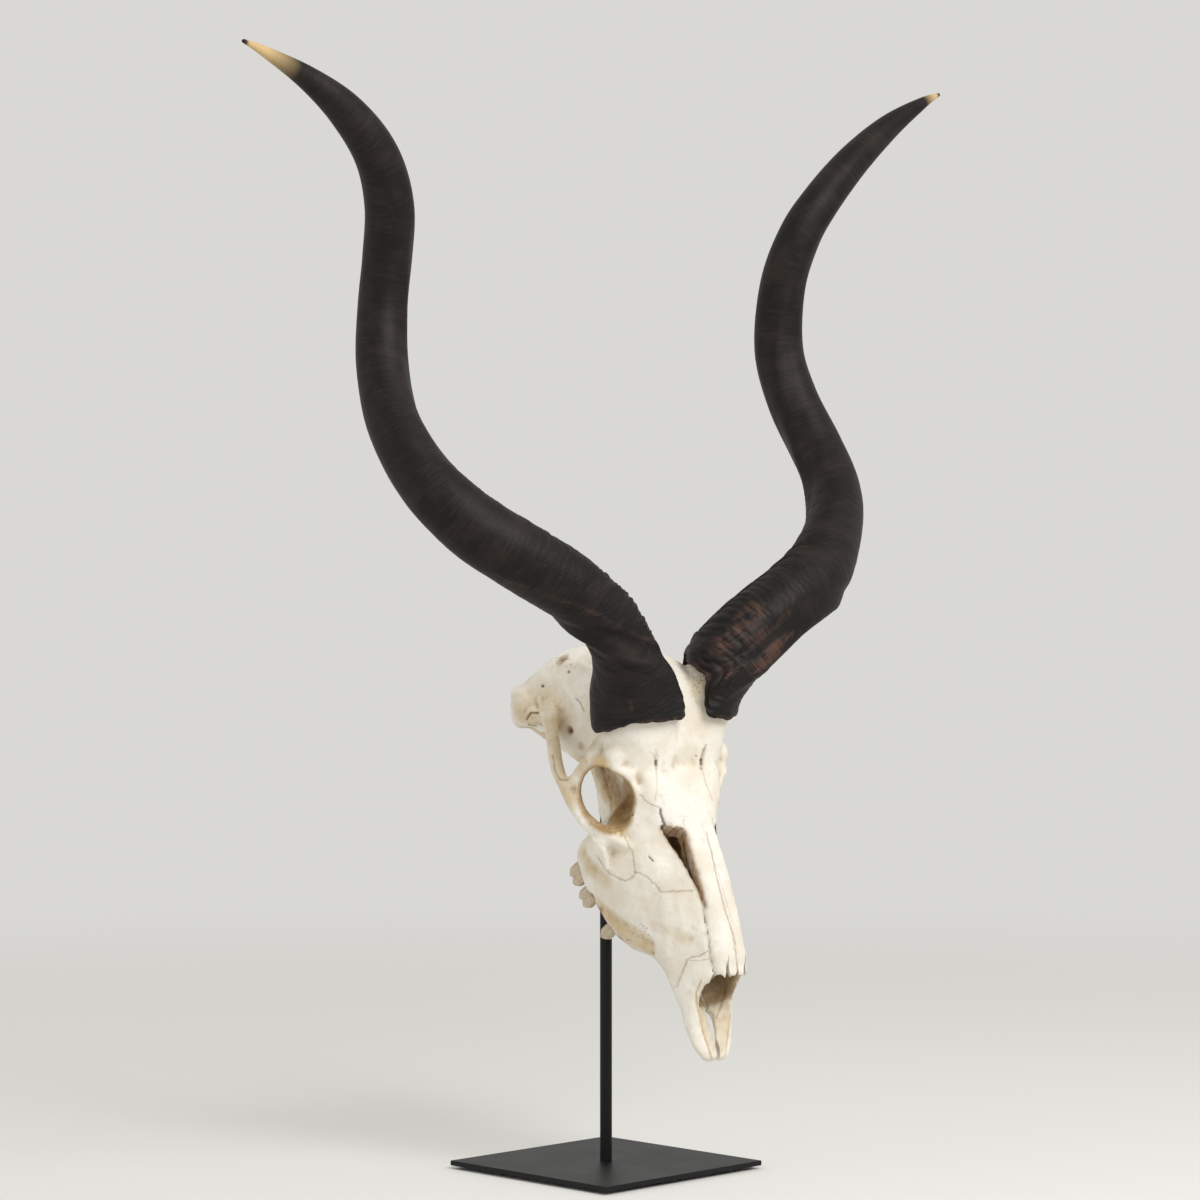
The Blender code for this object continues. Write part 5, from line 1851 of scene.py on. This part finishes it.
    def broad_marks(self) -> list[Mark]:
        """The swellings, hollows and wide stains of the bone, with painted shade on the facet behind the
        cheek's crest, the tuber and the band above the teeth, and brown on the orbit's inner wall that is
        part stain and part painted shade.
        """
        crest = ((48, 84, 464), (38, 93, 480), (20, 99, 488), (0, 101, 490))
        temple_line = ((52, -42, 490), (46, -10, 500), (44, 24, 498), (44, 56, 486), (42, 80, 474))
        return [
            Mark(((667, 735), (668, 780)), 12, 0.9),
            Mark(((662, 845), (672, 862)), 22, 1.8),
            # Painted shade: the shadowed facet behind the cheek's crest is pressed and coloured tan.
            Mark(((572, 838), (583, 853), (594, 869)), 10, 2.6, Tone.WARM, 0.35),
            Mark(((578, 815), (590, 832), (603, 850), (607, 868)), 4.2, -2.0, both=True),
            Mark(tuple(face_point(x, s, h)[:] for s, x, h in self.nasal_edge), 5.0, 1.1, both=True),
            Mark(tuple(face_point(0, s, h)[:] for s, _, h in self.nasal_edge[1:]), 4.0, 0.7),
            # Painted shade: the hollow band above the teeth is pressed and coloured tan.
            Mark(((592, 897), (606, 912), (622, 925), (650, 944)), 10, 2.6, Tone.WARM, 0.5, 1.2),
            Mark(((664, 898), (668, 925), (665, 957)), 9, -1.2),
            Mark(crest, 7, -3.0, both=True),
            Mark(((0, 104, 478),), 9, -3.0),
            Mark(temple_line, 5, -1.2, both=True),
            Mark(((10, 104, 436), (24, 103, 442), (30, 99, 456)), 4, 1.6, both=True),
            tan_mark(((530, 700), (548, 705), (560, 715)), 26, 0.45),
            tan_mark(((550, 722), (556, 745), (562, 775), (570, 800), (578, 830)), 14, 0.6, both=True),
            tan_mark(((593, 742), (580, 768)), 12, 0.6, both=True),
            tan_mark(((600, 763), (590, 790), (600, 820), (622, 832)), 9, 0.35, both=True),
            # Painted shade on the back of the maxillary tuber, coloured tan.
            tan_mark(((575, 850), (590, 866), (606, 880)), 12, 0.45, both=True),
            # Painted shade along the alveolar edge, coloured tan.
            tan_mark(((600, 905), (626, 938), (650, 950)), 9, 0.5, both=True),
            tan_mark(((520, 716), (532, 724)), 14, 0.5, both=True),
            tan_mark(((0, 60, 440), (0, 100, 440)), 34, 0.6),
            tan_mark(((0, -20, 400), (0, 20, 408)), 30, 0.6),
            tan_mark(((581, 746),), 6, 0.8),
            tan_mark(((655, 925), (672, 932), (688, 940)), 8, 0.3),
            tan_mark(((697, 660), (700, 685)), 12, 0.45),
            Mark(((563, 660),), 9, 0.8, Tone.BROWN, 0.75),
            # The orbit's inner wall: brown and tan, part stain and part painted shade.
            Mark(((604, 770), (614, 788), (624, 806)), 16, 0.0, Tone.BROWN, 0.65),
            Mark(((600, 766), (608, 790), (620, 810)), 16, 0.0, Tone.WARM, 0.95),
            Mark(((603, 768), (611, 812)), 2.6, 1.0, Tone.BROWN, 0.3, stray=1.5),
            Mark(((612, 766), (618, 808)), 2.2, -0.9, Tone.WARM, 0.3, stray=1.5),
            Mark(((665, 838), (668, 868)), 15, 0.5),
            Mark(((539, 699), (541, 710), (545, 720)), 5, -2.2),
            Mark(((621, 831),), 3.6, 0.7, Tone.WARM, 0.95),
        ]

    def fine_marks(self) -> list[Mark]:
        """The sutures, foramina, cracks and pits of the bone; the near-black in the foramina and pits is
        painted shade.
        """
        suture = {"radius": 0.9, "depth": 0.3, "tone": Tone.BROWN, "stain": 0.4, "blur": 1.3, "stray": 1.1}
        faint = {"radius": 0.8, "depth": 0.3, "stain": 0.25, "blur": 1.2, "stray": 0.6}
        jugal = (
            (598, 857), (610, 874), (625, 881), (634, 877), (635, 872), (646, 876), (662, 892), (693, 891),
        )
        ear_rim = ((538, 713), (531, 713), (527, 719), (530, 725), (536, 726))
        arch_suture = ((553, 755), (555, 770), (560, 780), (568, 780))
        internasal = ((706, 832), (711, 850), (717, 880), (726, 914), (733, 936), (736, 957), (738, 972))
        premaxillary = ((677, 987), (681, 977), (687, 960), (691, 957), (700, 956), (710, 950))
        groove = ((701, 981), (696, 993), (696, 1003), (700, 1018), (703, 1032), (708, 1048), (711, 1058))
        alveoli = ((594, 904), (600, 914), (613, 934), (626, 946), (644, 955), (653, 953))
        marks = [
            Mark(jugal, both=True, **suture),
            Mark(((624, 836), (628, 844), (633, 852), (634, 865), (635, 872)), both=True, **suture),
            Mark(((633, 795), (640, 795), (648, 803), (659, 808)), both=True, **suture),
            Mark(((649, 857), (653, 861)), 1.3, 0.8, Tone.BROWN, 0.8),
            # Painted shade in a slit, near-black.
            Mark(((660, 810), (661, 816), (664, 824)), 2.2, 2.0, Tone.DARK, 0.6, stray=1.0, both=True),
            Mark(internasal, 1.2, 0.3, Tone.BROWN, 0.45, stray=0.5),
            Mark(premaxillary, 1.2, 0.2, Tone.BROWN, 0.4, stray=0.6, both=True),
            Mark(alveoli, 3.0, 1.2, Tone.BROWN, 0.5, stray=2.2, both=True),
            Mark(((591, 824), (600, 829), (610, 833), (621, 831)), **faint),
            Mark(((594, 820), (602, 826), (612, 829), (620, 827)), **faint),
            # Painted shade in the right supraorbital foramen, near-black.
            Mark(((656, 761), (656, 765)), 1.5, 2.4, Tone.DARK, 0.7, 1.3),
            Mark(((655, 755), (656, 768)), 2.6, 0.7, Tone.BROWN, 0.25),
            Mark(((650, 752), (655, 758)), **faint),
            Mark(((655, 750), (658, 757)), **faint),
            Mark(((656, 768), (657, 782), (655, 800)), **faint),
            # Painted shade in the left supraorbital foramen, near-black.
            Mark(((701, 760), (701, 764)), 1.7, 2.6, Tone.DARK, 0.7, 1.3),
            Mark(((704, 750), (701, 768)), 3.0, 1.0, Tone.BROWN, 0.3),
            Mark(((706, 745), (703, 752), (701, 760)), 1.4, 0.8, Tone.BROWN, 0.5),
            Mark(((701, 768), (706, 784), (712, 800)), 1.3, 0.5, Tone.BROWN, 0.3),
            # Painted shade in two small pits, near-black.
            Mark(((696, 756),), 1.3, 0.8, Tone.DARK, 0.6),
            Mark(((633, 815),), 2.0, 1.2, Tone.DARK, 0.7),
            Mark(((571, 730),), 6.0, 1.8, Tone.BROWN, 0.9, both=True),
            # Painted shade at the bottom of the pit, near-black.
            Mark(((571, 731),), 3.0, 1.0, Tone.DARK, 0.5),
            Mark(ear_rim, 1.9, 1.5, Tone.BROWN, 0.75, both=True),
            Mark(groove, 1.7, 0.9, Tone.WARM, 0.6, stray=0.5, both=True),
            Mark(((731, 976), (725, 990), (721, 1005), (716, 1018)), 1.8, 0.5, Tone.BROWN, 0.4),
            # Painted shade in two foramina, near-black.
            Mark(((569, 672),), 2.2, 1.4, Tone.DARK, 0.8),
            Mark(((543, 686),), 2.2, 1.4, Tone.DARK, 0.8),
            Mark(((576, 698), (581, 703), (584, 711)), 1.0, 0.6, Tone.BROWN, 0.7, stray=0.6),
            Mark(arch_suture, 1.3, 0.6, Tone.BROWN, 0.5, stray=0.6, both=True),
            Mark(((0, -24, 514), (18, -26, 511), (30, -29, 504)), both=True, **suture),
            Mark(((0, -20, 514), (0, 10, 515), (0, 40, 511), (0, 70, 498)), **suture),
            Mark(tuple(face_point(0, s, 5.0)[:] for s in range(90, 216, 18)), **suture),
            Mark(((-10, 24, 404), (10, 24, 404)), **suture),
        ]
        marks += self.pores((698, 684), (6, 9), 22, 7)
        marks += self.pores((563, 660), (8, 5), 16, 11)
        marks += self.pores((636, 932), (14, 9), 20, 5)
        return marks

    def pores(self, centre: Row, reach: Row, count: int, seed: int) -> list[Mark]:
        """Scatter open pores over a patch of the frame.

        Args:
            centre: The patch's middle as (px, py).
            reach: Its half width and half height.
            count: How many there are.
            seed: Seed of their places.

        Returns:
            The pores as marks.
        """
        draw = random.Random(seed)
        spots = []
        for _ in range(count):
            place = (centre[0] + draw.uniform(-1, 1) * reach[0], centre[1] + draw.uniform(-1, 1) * reach[1])
            spots.append(Mark((place,), draw.uniform(0.6, 1.1), draw.uniform(0.4, 0.8), Tone.BROWN, 0.7))
        return spots

    def make(
        self, horns: Sequence[Horn], teeth: CheekTeeth, finish: bpy.types.Material, eye: ViewPoint
    ) -> dict[str, bpy.types.Object]:
        """Make, work, stain and dress the skull and its parted bones, with painted shade in its gaps and
        sockets.

        Args:
            horns: The horns, whose seats the bone has.
            teeth: The teeth, whose sockets it has.
            finish: The bone's material.
            eye: The view that the marks' frame points are seen from.

        Returns:
            The bones by node, in the part's frame.
        """
        whole = self.fuse(horn.seat() for horn in horns)
        strokes = lay_marks(self.fine_marks(), tree_of(whole), eye)
        refine(whole, strokes, self.refine_margin, self.refine_longest)
        plain = Clay(whole)
        worked = self.work(copy_of(whole, "surface"), eye)
        bones = self.part(whole)
        boolean(whole, as_object("cut", [self.rod_room()]))
        boolean(whole, as_object("cut", teeth.sockets()))
        bones["skull"] = keep_main_shell(whole)
        for bone in bones.values():
            clay = Clay(bone)
            # Painted shade: the walls of the gap beside each nasal bone are coloured brown.
            gaps = [self.fissure_prism(side, self.gap_shade_low) for side in (-1, 1)]
            walls = [clay.inside(gap, self.wall_reach) for gap in gaps]
            clay.follow(plain, worked)
            clay.stain_all(Tone.BROWN, (walls[0] + walls[1]) * self.gap_wall_shade)
            if bone is whole:
                # Painted shade on the walls of the tooth sockets.
                self.shade_hollow_walls(clay, as_one(teeth.sockets()), 0.7, 0.7)
            clay.finish()
            bone.data.transform(seat_matrix())
            dress(bone, finish)
        return bones

    def work(self, surface: bpy.types.Object, eye: ViewPoint) -> Clay:
        """Work a copy of the whole bone's surface, colour it and remove the copy.

        Args:
            surface: The copy.
            eye: The view that the marks' frame points are seen from.

        Returns:
            Its skin with its tone.
        """
        tree = tree_of(surface)
        clay = Clay(surface)
        clay.press(lay_marks(self.broad_marks(), tree, eye))
        clay.read_normals()
        clay.roughen(self.swell_height, self.swell_size)
        clay.press(lay_marks(self.fine_marks(), tree, eye))
        clay.finish()
        skin = Clay(surface)
        tree = tree_of(surface)
        skin.colour(lay_marks([*self.broad_marks(), *self.fine_marks()], tree, eye))
        # Painted shade: bone that lies below the evened skin is coloured tan, and brown in small hollows.
        skin.stain_all(Tone.WARM, np.clip(skin.hollowness(30) * 0.22, 0.0, 0.45))
        skin.stain_all(Tone.BROWN, np.clip(skin.hollowness(6) * 0.8 - 0.12, 0.0, 0.4))
        # Painted shade on the walls of the airway, the nostril, the throat, the braincase and the eyes'
        # rooms.
        for hollow, warm, brown in (
            (self.nasal_cavity(), 0.7, 0.35),
            (self.nostril_opening(), 0.4, 0.05),
            (self.throat(), 0.8, 0.4),
            (self.brain_room(), 0.8, 0.6),
            (self.orbit_hollow(1), 0.9, 0.45),
            (self.orbit_hollow(-1), 0.9, 0.45),
        ):
            self.shade_hollow_walls(skin, hollow, warm, brown)
        log.info("the bone is worked, %d vertices", len(skin.places))
        bpy.data.objects.remove(surface, do_unlink=True)
        return skin

    def shade_hollow_walls(self, skin: Clay, hollow: bmesh.types.BMesh, warm: float, brown: float) -> None:
        """Paint shade on a hollow's walls, in tan and brown.

        Args:
            skin: The bone's skin.
            hollow: The cutter that made it.
            warm: How tan the painted shade on its walls is.
            brown: How brown it is.
        """
        found = skin.inside(hollow)
        skin.stain_all(Tone.WARM, found * warm)
        skin.stain_all(Tone.BROWN, found * brown)


# The stand, the light and the whole


@dataclass(frozen=True)
class Stand:
    """The plate, the rubber sheet under it and the rod: their solids stay, in their own finishes."""

    steel: CoatFinish = CoatFinish("satin_powder_coat", "#121213", "#19191A", 0.46, 0.2, 1.1, 0.02)
    rubber: CoatFinish = CoatFinish("moulded_rubber", "#121212", "#1A1A19", 0.8, 0.3, 0.9, 0.05)

    def dress(self) -> None:
        """Give each solid of the stand its material."""
        steel, rubber = self.steel.make(), self.rubber.make()
        for node, material in (("base_plate", steel), ("stand_rod", steel), ("base_pad", rubber)):
            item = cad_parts[node]
            for slot in item.material_slots:
                slot.material = material
            log.info("%s has %s", node, material.name)


@dataclass(frozen=True)
class Studio:
    """A plain pale floor and surround with soft light."""

    floor_radius: float = 8.0
    floor_segments: int = 96
    surround_strength: float = 1.0
    key_watts: float = 60.0
    key_size: float = 1.6
    fill_watts: float = 8.0
    fill_size: float = 2.6
    target_height: float = 0.5

    def make(self, eye: ViewPoint) -> None:
        """Make the floor, the surround and the lights.

        Args:
            eye: The camera that they are set round.
        """
        bm = bmesh.new()
        bmesh.ops.create_circle(bm, cap_ends=True, segments=self.floor_segments, radius=self.floor_radius)
        floor = as_object("floor", [bm])
        dress(floor, FloorFinish().make())
        world = bpy.data.worlds.new("surround")
        world.use_nodes = True
        shade = world.node_tree.nodes["Background"]
        shade.inputs["Color"].default_value = (*SURROUND, 1.0)
        shade.inputs["Strength"].default_value = self.surround_strength
        bpy.context.scene.world = world
        bpy.context.scene.view_settings.view_transform = "Standard"
        up = Vector((0.0, 0.0, 1.0))
        target = up * self.target_height
        key_place = eye.right * 1.5 + eye.back * 1.9 + up * 2.3
        fill_place = -eye.right * 2.4 + eye.back * 1.2 + up * 1.2
        self.lamp("key", key_place, target, self.key_watts, self.key_size)
        self.lamp("fill", fill_place, target, self.fill_watts, self.fill_size)

    def lamp(self, name: str, place: Vector, target: Vector, watts: float, size: float) -> None:
        """Make a square soft light that faces a target."""
        data = bpy.data.lights.new(name, "AREA")
        data.energy = watts
        data.size = size
        item = bpy.data.objects.new(name, data)
        bpy.context.scene.collection.objects.link(item)
        item.location = place
        item.rotation_euler = (place - target).to_track_quat("Z", "Y").to_euler()


def horn_marks() -> dict[Side, tuple[Mark, ...]]:
    """The chips, hollows and rusty patches of each horn, and painted shade in the hollow at the left horn's
    foot.
    """
    right = (
        Mark(((628, 694), (632, 710), (638, 726)), 2.0, 0.2, Tone.WARM, 0.45, stray=0.8),
        Mark(((635, 625),), 2.6, 0.6, Tone.WARM, 0.8),
        Mark(((497, 573), (567, 603), (600, 617), (637, 637), (655, 642)), 3.4, -1.6, Tone.WARM, 0.3),
        Mark(((590, 628), (620, 638), (650, 650)), 9.0, 2.0),
    )
    long_edge = ((722, 684), (732, 671), (742, 666), (757, 663), (772, 647), (792, 634))
    left = (
        # Painted shade: the shadowed lobe at the horn's foot, pressed and near-black.
        Mark(((706, 704), (716, 697), (730, 688), (748, 680)), 11.0, 4.0, Tone.DARK, 0.5),
        Mark(long_edge, 3.2, -1.6, Tone.WARM, 0.8),
        Mark(((754, 670), (766, 660), (779, 646)), 9.0, 0.6, Tone.WARM, 0.8),
        Mark(((722, 644), (737, 630), (757, 610)), 14.0, 0.3, Tone.WARM, 0.85),
        Mark(((712, 676), (740, 655), (760, 638), (790, 612)), 5.0, 1.4, Tone.WARM, 0.5),
        Mark(((720, 664), (745, 643), (770, 625)), 2.2, -0.8, Tone.WARM, 0.5),
        Mark(((776, 655), (776, 664)), 3.0, 1.8, Tone.WARM, 0.4),
        Mark(((735, 590), (765, 570), (800, 548)), 12.0, 0.0, Tone.WARM, 0.3),
    )
    return {Side.RIGHT: right, Side.LEFT: left}


def main() -> None:
    """Build the pieces in order and put each in the place of its solid."""
    logging.basicConfig(level=logging.INFO, format="%(message)s")
    noise.seed_set(NOISE_SEED)
    eye = ViewPoint()
    eye.make()
    marks = horn_marks()
    horns = [
        Horn("horn_right", Side.RIGHT, RIGHT_PATH, RIGHT_RIM, RIGHT_KEEL, 64.0, marks[Side.RIGHT]),
        Horn("horn_left", Side.LEFT, LEFT_PATH, LEFT_RIM, LEFT_KEEL, 28.0, marks[Side.LEFT]),
    ]
    keratin = HornFinish().make()
    for horn in horns:
        hand_over(horn.make(keratin, eye), horn.node)
    teeth = CheekTeeth()
    for node, tooth in teeth.make(ToothFinish().make()).items():
        hand_over(tooth, node)
    for node, bone in Skull().make(horns, teeth, BoneFinish().make(), eye).items():
        hand_over(bone, node)
    Stand().dress()
    Studio().make(eye)


if __name__ == "__main__":
    main()
